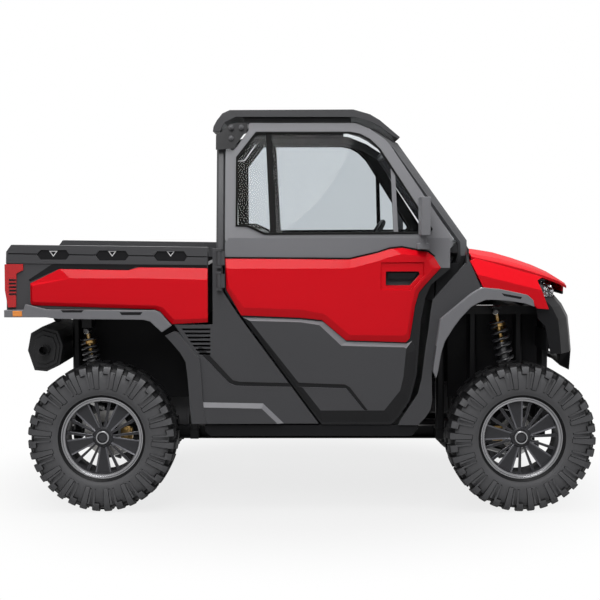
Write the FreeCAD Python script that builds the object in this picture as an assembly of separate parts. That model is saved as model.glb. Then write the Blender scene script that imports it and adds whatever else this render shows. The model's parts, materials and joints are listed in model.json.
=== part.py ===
import FreeCAD, Part
import math
import os

# Side by side utility vehicle: enclosed cab for three, tilting cargo bed, open front arches.
# Millimetres. +X is forwards, +Y is the driver's side, +Z is up.
# The origin is on the ground, below the middle of the length and the width.

# Driving dimensions
wheelbase = 2150.0
tail_overhang = 499.0
overall_height = 2066.0
body_width = 1480.0
roof_width = 1250.0
track_inset = 50.0
tyre_radius = 381.0
tyre_width = 254.0
rim_radius = 211.0
rim_width = 196.0

# Gaps, seats and cutting allowance
overrun = 5.0
seat_gap = 0.3
running_gap = 0.05
panel_gap = 8.0
pin_gap = 2.0
joint_gap = 14.0

# Wheels and hubs
bead_width = 14.0
barrel_wall = 8.0
rim_lip_depth = 13.0
rim_face_inset = 34.0
spoke_thickness = 16.0
blade_thickness = 12.0
hub_disc_radius = 74.0
hub_disc_thickness = 26.0
hub_cap_radius = 37.0
hub_cap_height = 20.0
spindle_radius = 22.0
spindle_length = 96.0
brake_disc_radius = 118.0
brake_disc_thickness = 6.0
blade_count = 5
tyre_lug_count = 18

# Tubes, rails and plates
rail_width = 60.0
frame_drop = 71.1
rail_depth = 50.0
brace_width = 44.0
cage_width = 40.0
cage_depth = 46.0
skid_thickness = 6.0
splash_thickness = 5.0
splash_lift = 151.0
gusset_thickness = 6.0
receiver_inside = 50.8
receiver_wall = 6.4
receiver_flange = 60.0
receiver_pin_radius = 8.25
receiver_pin_setback = 45.0
tow_eye_radius = 11.0
tow_eye_wall = 12.0
tow_eye_thickness = 14.0

# Shell thicknesses
door_thickness = 54.0
window_frame_thickness = 34.0
skin_thickness = 12.0
pad_proud = 10.0
groove_depth = 8.0
rail_groove_depth = 3.0
step_proud = 16.0
arch_lip_proud = 18.0
arch_lip_depth = 26.0
glass_thickness = 6.0
panel_thickness = 14.0
tub_wall = 38.0
bed_floor_thickness = 24.0
bed_lip_depth = 36.0
roof_flange = 16.0
hood_thickness = 14.0
hood_barrel_radius = 5.6
hood_pin_radius = 2.6
hood_knuckle_length = 40.0
outrigger_depth = 40.0
pivot_lug_width = 24.0
pivot_pin_radius = 11.0
pivot_lug_radius = 24.0
gate_pin_radius = 7.0
gate_margins = (70.0, 34.0)
gate_handle_half = 95.0
gate_handle_height = 46.0
gate_handle_depth = 18.0

# Corner radii
panel_corner = 12.0
glass_corner = 20.0
cushion_corner = 24.0

# Suspension, driveline and steering
arm_radius = 15.0
arm_spread = 150.5
ball_joint_spread = 240.0
ball_radius = 21.0
kingpin_offset = 105.0
damper_radius = 27.0
spring_radius = 50.0
spring_wire = 6.5
spring_facets = 12
spring_seat = 12.0
half_shaft_radius = 16.0
boot_radius = 42.0
propshaft_radius = 24.0
steer_arm_length = 110.0
tie_rod_radius = 11.0
tie_rod_eye = 20.0
rack_radius = 24.0
rack_foot = 9.0
steer_arm_rise = 62.0
spring_turns = 7
shock_eye_radius = 16.0
bush_radius = 19.0
bush_length = 64.0
kingpin_radius = 8.0
steering_wheel_radius = 178.0
steering_wheel_grip = 14.0
steering_shaft_radius = 16.0
steering_shaft_length = 210.0
hinge_radius = 13.0
hinge_height = 70.0
hinge_spacing = 115.7
hinge_stand_off = 16.0
hinge_pin_radius = 6.0
hinge_bracket = 12.0
hinge_leaf = 5.0
quarter_pad = 18.0

# Mirror and handle
mirror_width = 168.0
mirror_height = 190.0
mirror_depth = 46.0
mirror_stem = 15.0
handle_depth = 34.0

# Places worked out from the driving dimensions
overall_length = tail_overhang + wheelbase + tyre_radius
rear_axle_x = tail_overhang - overall_length / 2
front_axle_x = rear_axle_x + wheelbase
hub_z = tyre_radius
frame_height = tyre_radius - frame_drop
half_width = body_width / 2
half_track = half_width - track_inset
kingpin_y = half_track - kingpin_offset

# Heights and stations that several pieces share, as shares of height and wheelbase
belt_share = 0.672
roof_rail_share = 0.968
floor_share = 0.205
frame_low_share = 0.150
bed_floor_share = 0.487
bed_front_share = 0.252
bed_pivot_shares = (-0.134, 0.470)
tailgate_pivot_shares = (-0.2200, 0.512)
tailgate_top_share = 0.640
bed_tail_share = -0.228
bed_side_shares = [(-0.228, 0.487), (-0.228, 0.6168), (0.252, 0.6128), (0.252, 0.487)]
door_hinge_share = 0.2795
steering_hub_shares = (0.655, 0.639)
steering_lean_share = 0.62
driver_share = 0.50
rail_side_share = 0.320
bed_rail_side_share = 0.500


def vec(x, y, z):
    return FreeCAD.Vector(x, y, z)


def station(share):
    return rear_axle_x + share * wheelbase


def level(share):
    """Height of a share: the chassis keeps its height and the body above it takes the rest."""
    body_height = (overall_height - frame_height) / (1 - frame_low_share)
    return frame_height + (share - frame_low_share) * body_height


def beside(share):
    return share * half_width


def flank(z):
    """Half width of the body at a height: upright up to the belt, leaning in above it."""
    belt = level(belt_share)
    if z <= belt:
        return half_width
    lean = (body_width - roof_width) / 2 / (level(roof_rail_share) - belt)
    return half_width - lean * (z - belt)


def mirrored(shape):
    return shape.mirror(vec(0, 0, 0), vec(0, 1, 0))


def pair(shape):
    return Part.makeCompound([shape, mirrored(shape)])


def joined(shapes):
    """One solid from pieces that meet or overlap."""
    whole = shapes[0].fuse(shapes[1:])
    return whole.removeSplitter()


def corner_arc(before, point, after, radius):
    """Two tangent points and the middle of the arc that turns a corner."""
    back = before - point
    ahead = after - point
    reach = 0.45 * min(back.Length, ahead.Length)
    back.normalize()
    ahead.normalize()
    half_angle = back.getAngle(ahead) / 2
    cut = min(radius / math.tan(half_angle), reach)
    turn_radius = cut * math.tan(half_angle)
    inward = back + ahead
    inward.normalize()
    middle = point + inward * (turn_radius / math.sin(half_angle) - turn_radius)
    return point + back * cut, middle, point + ahead * cut


def is_straight(before, point, after):
    return (before - point).getAngle(after - point) > math.radians(176)


def rounded_wire(points, radius):
    """Closed flat wire through points, with each real corner turned on an arc."""
    if radius == 0:
        return Part.makePolygon(points + [points[0]])
    count = len(points)
    edges = []
    first = None
    last = None
    for index in range(count):
        before = points[index - 1]
        point = points[index]
        after = points[(index + 1) % count]
        if is_straight(before, point, after):
            start, end = point, point
        else:
            start, middle, end = corner_arc(before, point, after, radius)
        if last is not None:
            edges.append(Part.LineSegment(last, start).toShape())
        else:
            first = start
        if start != end:
            edges.append(Part.Arc(start, middle, end).toShape())
        last = end
    edges.append(Part.LineSegment(last, first).toShape())
    return Part.Wire(edges)


def prism(points, along, radius=0):
    return Part.Face(rounded_wire(points, radius)).extrude(along)


def box(low, high):
    """Block between two corners."""
    size = high - low
    return Part.makeBox(size.x, size.y, size.z, low)


def rod(start, end, radius):
    along = end - start
    return Part.makeCylinder(radius, along.Length, start, along)


def side_points(shares, y):
    return [vec(station(s), y, level(h)) for s, h in shares]


def across(shares, half, radius=0):
    """Side outline carried across the vehicle from one side to the other."""
    return prism(side_points(shares, -half), vec(0, 2 * half, 0), radius)


def flank_plate(shares, inset, thickness, radius=0):
    """Right-hand side panel on the flank; the inset is measured inwards from it."""
    points = []
    for s, h in shares:
        z = level(h)
        points.append(vec(station(s), inset - flank(z), z))
    return prism(points, vec(0, thickness, 0), radius)


def flat_face(points):
    return Part.Face(Part.makePolygon(points + [points[0]]))


def patch(a, b, c, d):
    """One flat face between four corners, or two where they don't lie in one plane."""
    normal = (b - a).cross(c - a)
    if normal.Length > 0 and abs(normal.dot(d - a)) < normal.Length * 0.001:
        return [flat_face([a, b, c, d])]
    return [flat_face([a, b, c]), flat_face([a, c, d])]


def ring_faces(near, far):
    """Flat faces between two rings of the same count."""
    faces = []
    for index in range(len(near)):
        after = (index + 1) % len(near)
        faces += patch(near[index], near[after], far[after], far[index])
    return faces


def shell_solid(faces):
    solid = Part.Solid(Part.Shell(faces))
    if solid.Volume < 0:
        solid.reverse()
    return solid


def ring_solid(rings):
    """Closed solid through rings of corners, each ring flat and of the same count."""
    faces = [flat_face(rings[0]), flat_face(rings[-1])]
    for near, far in zip(rings, rings[1:]):
        faces += ring_faces(near, far)
    return shell_solid(faces)


def bar(path, width, depth, upright):
    """Eight-sided bar along straight runs, mitred where they meet.

    The upright vector gives the direction in which the depth is measured.
    """
    trim_share = 0.24
    along = path[1] - path[0]
    along.normalize()
    side = along.cross(upright)
    side.normalize()
    up = side.cross(along)
    w = width / 2
    d = depth / 2
    cut = trim_share * width
    section = [(w, d - cut), (w - cut, d), (cut - w, d), (-w, d - cut),
               (-w, cut - d), (cut - w, -d), (w - cut, -d), (w, cut - d)]
    ring = [path[0] + side * a + up * b for a, b in section]
    rings = [ring]
    for index in range(1, len(path)):
        run = path[index] - path[index - 1]
        run.normalize()
        normal = run
        if index < len(path) - 1:
            next_run = path[index + 1] - path[index]
            next_run.normalize()
            normal = run + next_run
        moved = []
        for point in rings[-1]:
            reach = (path[index] - point).dot(normal) / run.dot(normal)
            moved.append(point + run * reach)
        rings.append(moved)
    return ring_solid(rings)


def turned(profile, centre_y, x, z):
    """Solid of revolution about a wheel axle; the profile is in radius and sideways offset."""
    points = [vec(x + radius, centre_y + offset, z) for radius, offset in profile]
    face = Part.Face(Part.makePolygon(points + [points[0]]))
    return face.revolve(vec(x, centre_y, z), vec(0, 1, 0), 360)


# Wheels

tyre_base_shares = [(0.000, 0.400), (0.300, 0.478), (0.440, 0.482), (0.850, 0.450), (0.945, 0.330)]
tyre_lug_shares = [(0.000, 0.400), (0.300, 0.478), (0.440, 0.497), (0.880, 0.500), (1.000, 0.365)]
lug_turn_share = 0.38


def tyre_ring(angle, right_shares, left_shares):
    """Cross-section of the tyre at an angle about its axle, made at the origin."""
    pitch = 2 * math.pi / tyre_lug_count
    bore = (rim_radius + seat_gap) / math.cos(pitch * lug_turn_share / 2)
    height = tyre_radius - bore
    right = [(bore + a * height, -b * tyre_width) for a, b in right_shares]
    left = [(bore + a * height, b * tyre_width) for a, b in left_shares[::-1]]
    return [vec(r * math.cos(angle), y, r * math.sin(angle)) for r, y in right + left]


def tyre():
    """Off-road tyre about the origin, its shoulder lugs staggered from side to side."""
    pitch = 2 * math.pi / tyre_lug_count
    half_lug = pitch * lug_turn_share / 2
    rings = []
    for index in range(tyre_lug_count):
        lug_angle = index * pitch - math.pi / 2
        for middle, right, left in ((lug_angle, tyre_lug_shares, tyre_base_shares),
                                    (lug_angle + pitch / 2, tyre_base_shares, tyre_lug_shares)):
            rings.append(tyre_ring(middle - half_lug, right, left))
            rings.append(tyre_ring(middle + half_lug, right, left))
    faces = []
    for near, far in zip(rings, rings[1:] + rings[:1]):
        faces += ring_faces(near, far)
    return shell_solid(faces)


def rim_barrel(x, y, outward):
    """Drop-centre barrel with a lip on each side."""
    half = rim_width / 2
    inner = rim_radius - barrel_wall
    well = inner - rim_lip_depth
    profile = [
        (rim_radius, -half), (rim_radius, half), (inner - barrel_wall, half),
        (well - barrel_wall, half - bead_width), (well - barrel_wall, bead_width - half),
        (inner - barrel_wall, -half),
    ]
    return turned([(r, outward * o) for r, o in profile], y, x, hub_z)


def spoke_prism(inner_radius, outer_radius, inner_width, outer_width, thickness):
    """Tapered spoke that points up, its outer face at offset zero, made at the origin."""
    points = [
        vec(-inner_width / 2, 0, inner_radius), vec(-outer_width / 2, 0, outer_radius),
        vec(outer_width / 2, 0, outer_radius), vec(inner_width / 2, 0, inner_radius),
    ]
    return prism(points, vec(0, thickness, 0))


def rim_centre(x, y, outward, first_angle):
    """Five wide blades, five pairs of thin spokes, hub disc, bolts and cap."""
    blade_share = (0.16, 0.42)
    spoke_share = (0.050, 0.075)
    spread_angle = 11.0
    root = hub_cap_radius
    tip = rim_radius - 2 * barrel_wall
    step = 360.0 / blade_count
    parts = [Part.makeCylinder(hub_disc_radius, hub_disc_thickness, vec(0, 0, 0), vec(0, 1, 0))]
    for index in range(blade_count):
        angle = first_angle + index * step
        blade = spoke_prism(root, tip, blade_share[0] * rim_radius, blade_share[1] * rim_radius,
                            blade_thickness)
        blade.rotate(vec(0, 0, 0), vec(0, 1, 0), 90 - angle)
        parts.append(blade)
        for lean in (-spread_angle, spread_angle):
            spoke = spoke_prism(root, tip, spoke_share[0] * rim_radius,
                                spoke_share[1] * rim_radius, spoke_thickness)
            spoke.rotate(vec(0, 0, 0), vec(0, 1, 0), 90 - (angle + step / 2 + lean))
            parts.append(spoke)
    cap = Part.makeCylinder(hub_cap_radius, hub_cap_height, vec(0, 0, 0), vec(0, -1, 0))
    parts.append(cap)
    centre = joined(parts)
    if outward > 0:
        centre = mirrored(centre)
    face_y = y + outward * (rim_width / 2 - rim_face_inset)
    centre.translate(vec(x, face_y, hub_z))
    return centre


def brake_disc_y():
    """Inner face of the brake disc, just outboard of the upright."""
    return kingpin_y + ball_radius + 3 * pin_gap


def rim(x, y, outward, first_angle):
    """Cast wheel with its brake disc; the bore takes the spindle."""
    face_y = y + outward * (rim_width / 2 - rim_face_inset)
    back_y = face_y - outward * hub_disc_thickness
    disc_y = outward * brake_disc_y()
    hub = rod(vec(x, back_y, hub_z), vec(x, disc_y, hub_z), hub_cap_radius)
    disc = rod(vec(x, disc_y, hub_z), vec(x, disc_y + outward * brake_disc_thickness, hub_z),
               brake_disc_radius)
    whole = joined([rim_barrel(x, y, outward), rim_centre(x, y, outward, first_angle), hub, disc])
    bore_end = disc_y + outward * spindle_length
    bore = rod(vec(x, disc_y - outward * overrun, hub_z), vec(x, bore_end, hub_z),
               spindle_radius + running_gap)
    return whole.cut(bore)


# Frame and floor

rail_end_shares = (-0.150, 1.102)
receiver_tip_share = -0.205
rear_post_shares = (-0.090, 0.205)
front_post_shares = (0.825, 0.905, 1.020)
front_top_share = 0.500
rear_upper_end_share = 0.235
front_upper_shares = (0.815, 1.075)
outrigger_shares = (0.2815, 0.480, 0.700)
full_cross_shares = (-0.090, 1.086)
stub_shares = (-0.090, 0.205, 0.825, 0.905, 1.020)


def long_rail(y, low):
    """Main rail from the rear drive to the front bulkhead."""
    start, end = rail_end_shares
    return box(vec(station(start), y - rail_width / 2, low),
               vec(station(end), y + rail_width / 2, low + rail_depth))


def cross_member(share, z, half, depth):
    x = station(share)
    return box(vec(x - rail_width / 2, -half, z), vec(x + rail_width / 2, half, z + depth))


def stub(share, side):
    """Short arm from a main rail out to a post of the sub-frame."""
    x = station(share)
    inner = side * beside(rail_side_share)
    outer = side * (beside(bed_rail_side_share) + brace_width / 2)
    return box(vec(x - brace_width / 2, min(inner, outer), frame_height),
               vec(x + brace_width / 2, max(inner, outer), rail_top()))


def outrigger(share):
    """Cross tube under the cab floor, raised on blocks from the main rails."""
    x = station(share)
    top = level(floor_share) - seat_gap
    half = rocker_inner() - seat_gap
    parts = [box(vec(x - rail_width / 2, -half, top - outrigger_depth),
                 vec(x + rail_width / 2, half, top))]
    for y in (-beside(rail_side_share), beside(rail_side_share)):
        parts.append(box(vec(x - rail_width / 2, y - rail_width / 2, rail_top() - overrun),
                         vec(x + rail_width / 2, y + rail_width / 2, top)))
    return parts


def bed_seat_z():
    """Height on which the bed's floor rests."""
    return level(bed_floor_share) - seat_gap


def rail_top():
    return frame_height + rail_depth


def post(share, y, top):
    path = [vec(station(share), y, rail_top() + seat_gap), vec(station(share), y, top)]
    return bar(path, brace_width, brace_width, vec(0, 1, 0))


def upper_rail(start_x, end_x, y, top):
    """Square rail along the vehicle with its top at a height."""
    half = brace_width / 2
    return box(vec(start_x, y - half, top - brace_width), vec(end_x, y + half, top))


def rear_subframe(y):
    """Posts, bed rail and pivot pin of one side; the pin points outwards."""
    side = math.copysign(1, y)
    pivot = vec(station(bed_pivot_shares[0]), y, level(bed_pivot_shares[1]))
    top = bed_seat_z()
    parts = [post(share, y, top - brace_width / 2) for share in rear_post_shares]
    parts.append(upper_rail(pivot.x, station(rear_upper_end_share), y, top))
    pin_end = vec(pivot.x, y + side * (brace_width / 2 + pivot_lug_width + 2 * pin_gap), pivot.z)
    boss_end = vec(pivot.x, y + side * brace_width / 2, pivot.z)
    boss_start = vec(pivot.x, y - side * brace_width / 2, pivot.z)
    parts.append(rod(boss_start, boss_end, brace_width / 2))
    parts.append(rod(boss_start, pin_end, pivot_pin_radius))
    return parts


def front_subframe(y):
    """Posts and top rail beside the front drive."""
    top = level(front_top_share)
    start, end = front_upper_shares
    parts = [post(share, y, top - brace_width / 2) for share in front_post_shares]
    parts.append(upper_rail(station(start), station(end), y, top))
    return parts


def shock_mount(head, y, top):
    """Block that reaches out from the upper rail over the head of a coil-over."""
    reach = head.y + math.copysign(damper_radius, y)
    return box(vec(head.x - damper_radius, min(y, reach), head.z),
               vec(head.x + damper_radius, max(y, reach), top))


def arm_ear(x, side):
    """Upright plate on the rail that the inner ends of both arms bolt to."""
    half = ball_joint_spread / 2 + arm_radius
    outer = side * (arm_root_y() - bush_radius - seat_gap)
    inner = side * beside(rail_side_share)
    return box(vec(x - arm_radius, min(inner, outer), hub_z - half),
               vec(x + arm_radius, max(inner, outer), hub_z + half))


def receiver():
    """Square hitch receiver with its cross pin bore, flanged to the rear cross member."""
    outside = receiver_inside / 2 + receiver_wall
    inside = receiver_inside / 2
    x = station(receiver_tip_share)
    root = station(full_cross_shares[0]) - rail_width / 2 - seat_gap
    z = frame_height + rail_depth / 2
    sleeve = joined([
        box(vec(x, -outside, z - outside), vec(root, outside, z + outside)),
        box(vec(root - receiver_wall, -receiver_flange, z - outside),
            vec(root, receiver_flange, z + outside)),
    ])
    hollow = box(vec(x - overrun, -inside, z - inside),
                 vec(root - receiver_wall, inside, z + inside))
    pin_x = x + receiver_pin_setback
    bore = rod(vec(pin_x, -outside - overrun, z), vec(pin_x, outside + overrun, z),
               receiver_pin_radius)
    return sleeve.cut(hollow).cut(bore)


def tow_eye():
    """Flat plate under the front cross member, with an upright eye for a shackle pin."""
    reach = tow_eye_radius + tow_eye_wall
    top = frame_height - seat_gap
    low = top - tow_eye_thickness
    root = station(full_cross_shares[1]) - rail_width / 2
    x = station(full_cross_shares[1]) + rail_width / 2 + 2 * reach
    plate = box(vec(root, -reach, low), vec(x, reach, top))
    nose = rod(vec(x, 0, low), vec(x, 0, top), reach)
    hole = rod(vec(x, 0, low - overrun), vec(x, 0, top + overrun), tow_eye_radius)
    return joined([plate, nose]).cut(hole)


def tow_points():
    return Part.makeCompound([receiver(), tow_eye()])


def rocker_inner():
    """Inner face of the rocker, against the foot of the cage."""
    return half_width - cage_inset() + cage_width / 2 + seat_gap


def frame():
    """Ladder frame: rails, cross members, outriggers, stubs and ears for the arms."""
    rail_y = beside(rail_side_share)
    parts = [long_rail(-rail_y, frame_height), long_rail(rail_y, frame_height)]
    for share in outrigger_shares:
        parts += outrigger(share)
    for share in full_cross_shares:
        parts.append(cross_member(share, frame_height, rail_y, rail_depth))
    for share in stub_shares:
        parts += [stub(share, -1), stub(share, 1)]
    for side in (-1, 1):
        for axle in (rear_axle_x, front_axle_x):
            for offset in (-arm_spread, arm_spread):
                parts.append(arm_ear(axle + offset, side))
    return joined(parts)


def upper_frame(post_shares, top, head, build_side):
    """Frame on posts: cross members, both sides, and the mounts for the coil-overs."""
    upper_y = beside(bed_rail_side_share)
    parts = []
    for share in post_shares:
        parts.append(cross_member(share, top - brace_width, upper_y, brace_width))
    for y in (-upper_y, upper_y):
        parts += build_side(y)
        parts.append(shock_mount(vec(head.x, math.copysign(head.y, y), head.z), y, top))
    return joined(parts)


def rear_frame():
    """Frame under the cargo bed, with the pins that the bed tilts on."""
    return upper_frame(rear_post_shares, bed_seat_z(), shock_heads()[0], rear_subframe)


def front_frame():
    """Frame round the front drive, below the bonnet."""
    return upper_frame(front_post_shares, level(front_top_share), shock_heads()[1],
                       front_subframe)


splash_side_share = 0.450
splash_ends_share = [(-0.0925, 0.231), (0.845, 1.0725)]


def splash_panels():
    """Upright panels inside the arches, hung from the cross members of both end frames."""
    y = beside(splash_side_share)
    tops = (bed_seat_z() - brace_width, level(front_top_share) - brace_width)
    panels = []
    for (rear, front), top in zip(splash_ends_share, tops):
        panels.append(box(vec(station(rear), -y, hub_z + splash_lift),
                          vec(station(front), splash_thickness - y, top - seat_gap)))
    return pair(Part.makeCompound(panels))


skid_side_shares = (0.090, 0.880)
skid_half_share = 0.460


def skid_plate():
    """Belly plate under the main rails."""
    top = frame_height
    half = beside(skid_half_share)
    start, end = skid_side_shares
    return box(vec(station(start), -half, top - skid_thickness), vec(station(end), half, top))


floor_outline_shares = [
    (0.735, 0.205), (0.520, 0.205), (0.505, 0.360), (0.296, 0.360), (0.296, 0.640),
]


def thick_line(points, thickness):
    """Closed outline of a bent plate: the line and its copy moved inwards by the thickness."""
    offset = []
    for index, point in enumerate(points):
        runs = []
        if index > 0:
            runs.append(point - points[index - 1])
        if index < len(points) - 1:
            runs.append(points[index + 1] - point)
        normals = []
        for run in runs:
            run.normalize()
            normals.append(vec(run.z, 0, -run.x))
        total = normals[0]
        for normal in normals[1:]:
            total = total + normal
        total.normalize()
        offset.append(point + total * (thickness / total.dot(normals[0])))
    return points + offset[::-1]


seat_box_shares = [(0.520, 0.205), (0.505, 0.360), (0.296, 0.360), (0.296, 0.205)]


def floor_tub():
    """Cab floor, seat riser with closed ends, and rear bulkhead in one moulding."""
    half = half_width - door_thickness - panel_gap
    line = side_points(floor_outline_shares, -half)
    outline = thick_line(line, panel_thickness)
    end = prism(side_points(seat_box_shares, -half), vec(0, panel_thickness, 0))
    return joined([prism(outline, vec(0, 2 * half, 0)), end, mirrored(end)])


firewall_shares = [(0.752, 0.222), (0.784, 0.360), (0.800, 0.585), (0.835, 0.630)]


def firewall():
    """Toe board and front wall of the cab."""
    half = half_width - door_thickness - panel_gap
    foot_x = station(floor_outline_shares[0][0]) + seat_gap
    foot = vec(foot_x, -half, level(floor_outline_shares[0][1]))
    outline = thick_line([foot] + side_points(firewall_shares, -half), panel_thickness)
    return prism(outline, vec(0, 2 * half, 0))


# Cage, roof and glass

cage_side_shares = [
    (0.2815, 0.640), (0.2815, 0.925), (0.302, 0.949), (0.325, 0.9575), (0.605, 0.9575),
    (0.655, 0.937), (0.700, 0.908), (0.860, 0.670), (0.861, 0.640),
]
cage_foot_shares = (0.857, 0.600, 0.780)
cage_cross_shares = [(0.2870, 0.9375), (0.700, 0.908), (0.2815, 0.640)]
gusset_outline_shares = [
    (0.270, 0.899), (0.270, 0.935), (0.284, 0.945), (0.300, 0.961), (0.318, 0.967),
    (0.345, 0.967), (0.345, 0.950), (0.312, 0.902),
]
gusset_block_shares = [(0.272, 0.902), (0.272, 0.930), (0.2905, 0.930), (0.2905, 0.902)]


def cage_inset():
    """Distance of a cage tube's middle inside the flank, clear of the door frames."""
    return window_frame_thickness + panel_gap + cage_width / 2


def cage_path():
    """Right-hand hoop: foot on the outrigger, rear pillar, roof rail, front pillar, front foot."""
    path = [vec(station(cage_side_shares[0][0]), cage_inset() - half_width, level(floor_share))]
    for s, h in cage_side_shares:
        z = level(h)
        path.append(vec(station(s), cage_inset() - flank(z), z))
    s, h, y_share = cage_foot_shares
    path.append(vec(station(s), -beside(y_share), level(h)))
    rail_y = beside(bed_rail_side_share) + brace_width / 2 + seat_gap
    foot_z = level(front_top_share) - brace_width / 2
    path.append(vec(station(s), -rail_y - cage_width, foot_z))
    path.append(vec(station(s), -rail_y, foot_z))
    return path


def cage_bars(growth):
    """Side hoops and cross bars, each thicker by the growth."""
    side = bar(cage_path(), cage_depth + growth, cage_width + growth, vec(0, 1, 0))
    parts = [side, mirrored(side)]
    for s, h in cage_cross_shares:
        z = level(h)
        half = flank(z) - cage_inset()
        path = [vec(station(s), -half, z), vec(station(s), half, z)]
        parts.append(bar(path, cage_width + growth, cage_width + growth, vec(0, 0, 1)))
    return parts


def cage():
    """Roll cage: two side hoops and the bars across."""
    return joined(cage_bars(0))


def clear_of_cage(shape):
    """What is left of a piece when it is let in round the cage with a seat gap."""
    for piece in cage_bars(2 * seat_gap):
        shape = shape.cut(piece)
    return shape


def gusset():
    """Plate that ties the roof rail to the rear pillar."""
    plate = flank_plate(gusset_outline_shares, -seat_gap - gusset_thickness, gusset_thickness)
    deep = cage_inset() - cage_width / 2
    block = flank_plate(gusset_block_shares, -seat_gap - overrun, deep + overrun)
    return clear_of_cage(joined([plate, block]))


roof_side_shares = [
    (0.262, 0.945), (0.264, 0.958), (0.272, 0.973), (0.285, 0.990), (0.303, 0.9985),
    (0.600, 1.000), (0.640, 0.988), (0.664, 0.973), (0.688, 0.952), (0.712, 0.931),
    (0.708, 0.926), (0.686, 0.940), (0.664, 0.957), (0.640, 0.970), (0.602, 0.9810),
    (0.317, 0.9810), (0.291, 0.967), (0.279, 0.945),
]
roof_flange_shares = (0.335, 0.595)
roof_channel_shares = (0.345, 0.575, 0.9968)
roof_channel_sides_share = [(-0.66, -0.40), (-0.30, 0.30), (0.40, 0.66)]


def roof():
    """Moulded roof with a rolled front and rear edge, seated on the roof rails."""
    half = roof_width / 2 + panel_gap
    shell = across(roof_side_shares, half)
    rail_z = level(cage_side_shares[4][1])
    low = rail_z + cage_depth / 2 - pin_gap
    top = level(roof_side_shares[4][1]) - overrun
    middle = flank(rail_z) - cage_inset()
    start, end = roof_flange_shares
    parts = [shell]
    for side in (-1, 1):
        parts.append(box(vec(station(start), side * middle - roof_flange / 2, low),
                         vec(station(end), side * middle + roof_flange / 2, top)))
    rear, front, floor = roof_channel_shares
    channels = [box(vec(station(rear), right * half, level(floor)),
                    vec(station(front), left * half, overall_height + overrun))
                for right, left in roof_channel_sides_share]
    return clear_of_cage(joined(parts).cut(channels))


windscreen_shares = [(0.7065, 0.8983), (0.8580, 0.6735)]
rear_window_shares = [(0.2815, 0.6502), (0.2815, 0.9270)]


def pane(shares):
    """Flat pane whose edges lie against the cage, narrowing to the top."""
    points = []
    for (s, h), side in zip(shares + shares[::-1], (-1, -1, 1, 1)):
        z = level(h)
        half = flank(z) - cage_inset() - cage_width / 2 + overrun
        points.append(vec(station(s), side * half, z))
    return clear_of_cage(prism(points, vec(glass_thickness, 0, 0)))


def cab_glass():
    """Windscreen and rear window."""
    return Part.makeCompound([pane(windscreen_shares), pane(rear_window_shares)])


# Doors

door_lower_shares = [
    (0.293, 0.672), (0.840, 0.672), (0.829, 0.655), (0.829, 0.604), (0.783, 0.563),
    (0.771, 0.533), (0.760, 0.475), (0.751, 0.340), (0.735, 0.275), (0.707, 0.232),
    (0.690, 0.2145), (0.524, 0.2145), (0.331, 0.488), (0.293, 0.548),
]
door_upper_shares = [
    (0.293, 0.672), (0.293, 0.8985), (0.3140, 0.8985), (0.3480, 0.9480), (0.3480, 0.9665),
    (0.604, 0.9665), (0.640, 0.952),
    (0.676, 0.925), (0.688, 0.911), (0.840, 0.672),
]
window_shares = [
    (0.318, 0.881), (0.3655, 0.945), (0.592, 0.945), (0.616, 0.940), (0.640, 0.927), (0.664, 0.902),
    (0.698, 0.848), (0.788, 0.702), (0.780, 0.690), (0.386, 0.688), (0.362, 0.700),
    (0.345, 0.707), (0.318, 0.708),
]
rear_divider_shares = [(0.388, 0.955), (0.403, 0.955), (0.417, 0.680), (0.401, 0.680)]
front_divider_shares = [(0.687, 0.900), (0.697, 0.900), (0.706, 0.680), (0.695, 0.680)]
skin_base_shares = [
    (0.293, 0.629), (0.590, 0.627), (0.657, 0.644), (0.685, 0.653), (0.714, 0.656),
    (0.745, 0.650), (0.776, 0.645), (0.790, 0.634), (0.807, 0.606), (0.769, 0.563),
    (0.755, 0.545), (0.746, 0.513), (0.739, 0.463), (0.734, 0.431), (0.725, 0.421),
    (0.581, 0.426), (0.524, 0.476), (0.472, 0.482), (0.331, 0.488), (0.296, 0.552),
]
skin_crest_shares = [
    (0.297, 0.604), (0.590, 0.604), (0.655, 0.622), (0.685, 0.633), (0.714, 0.640),
    (0.745, 0.637), (0.770, 0.630), (0.778, 0.622), (0.786, 0.604), (0.760, 0.570),
    (0.746, 0.551), (0.737, 0.515), (0.730, 0.470), (0.726, 0.443), (0.718, 0.438),
    (0.590, 0.440), (0.530, 0.492), (0.475, 0.503), (0.338, 0.508), (0.302, 0.560),
]
door_pad_base_shares = [
    (0.336, 0.483), (0.474, 0.478), (0.5265, 0.472), (0.583, 0.4225), (0.7265, 0.4175),
    (0.739, 0.424), (0.750, 0.400), (0.744, 0.337), (0.731, 0.280), (0.704, 0.236),
    (0.688, 0.2215), (0.524, 0.2215),
]
door_pad_crest_shares = [
    (0.352, 0.475), (0.474, 0.4715), (0.518, 0.464), (0.570, 0.413), (0.719, 0.409),
    (0.7255, 0.406), (0.724, 0.395), (0.7185, 0.335), (0.711, 0.301), (0.692, 0.276),
    (0.673, 0.251), (0.521, 0.251),
]
door_groove_shares = [
    (0.452, 0.321), (0.579, 0.316), (0.591, 0.309), (0.634, 0.251), (0.625, 0.251),
    (0.582, 0.306), (0.460, 0.310),
]
handle_bezel_shares = [
    (0.664, 0.619), (0.766, 0.619), (0.766, 0.587), (0.736, 0.552), (0.664, 0.552),
]
handle_opening_shares = [
    (0.676, 0.597), (0.754, 0.597), (0.756, 0.590), (0.733, 0.563), (0.676, 0.563),
]
paddle_shares = [(0.680, 0.594), (0.752, 0.594), (0.744, 0.578), (0.680, 0.578)]
mirror_place_shares = (0.762, 0.734)
mirror_foot_shares = (0.762, 0.660)
door_hinge_low_share = 0.557
door_rear_share = 0.293
belt_rail_shares = (0.300, 0.828)
belt_rail_heights_share = (0.665, 0.680)


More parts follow.
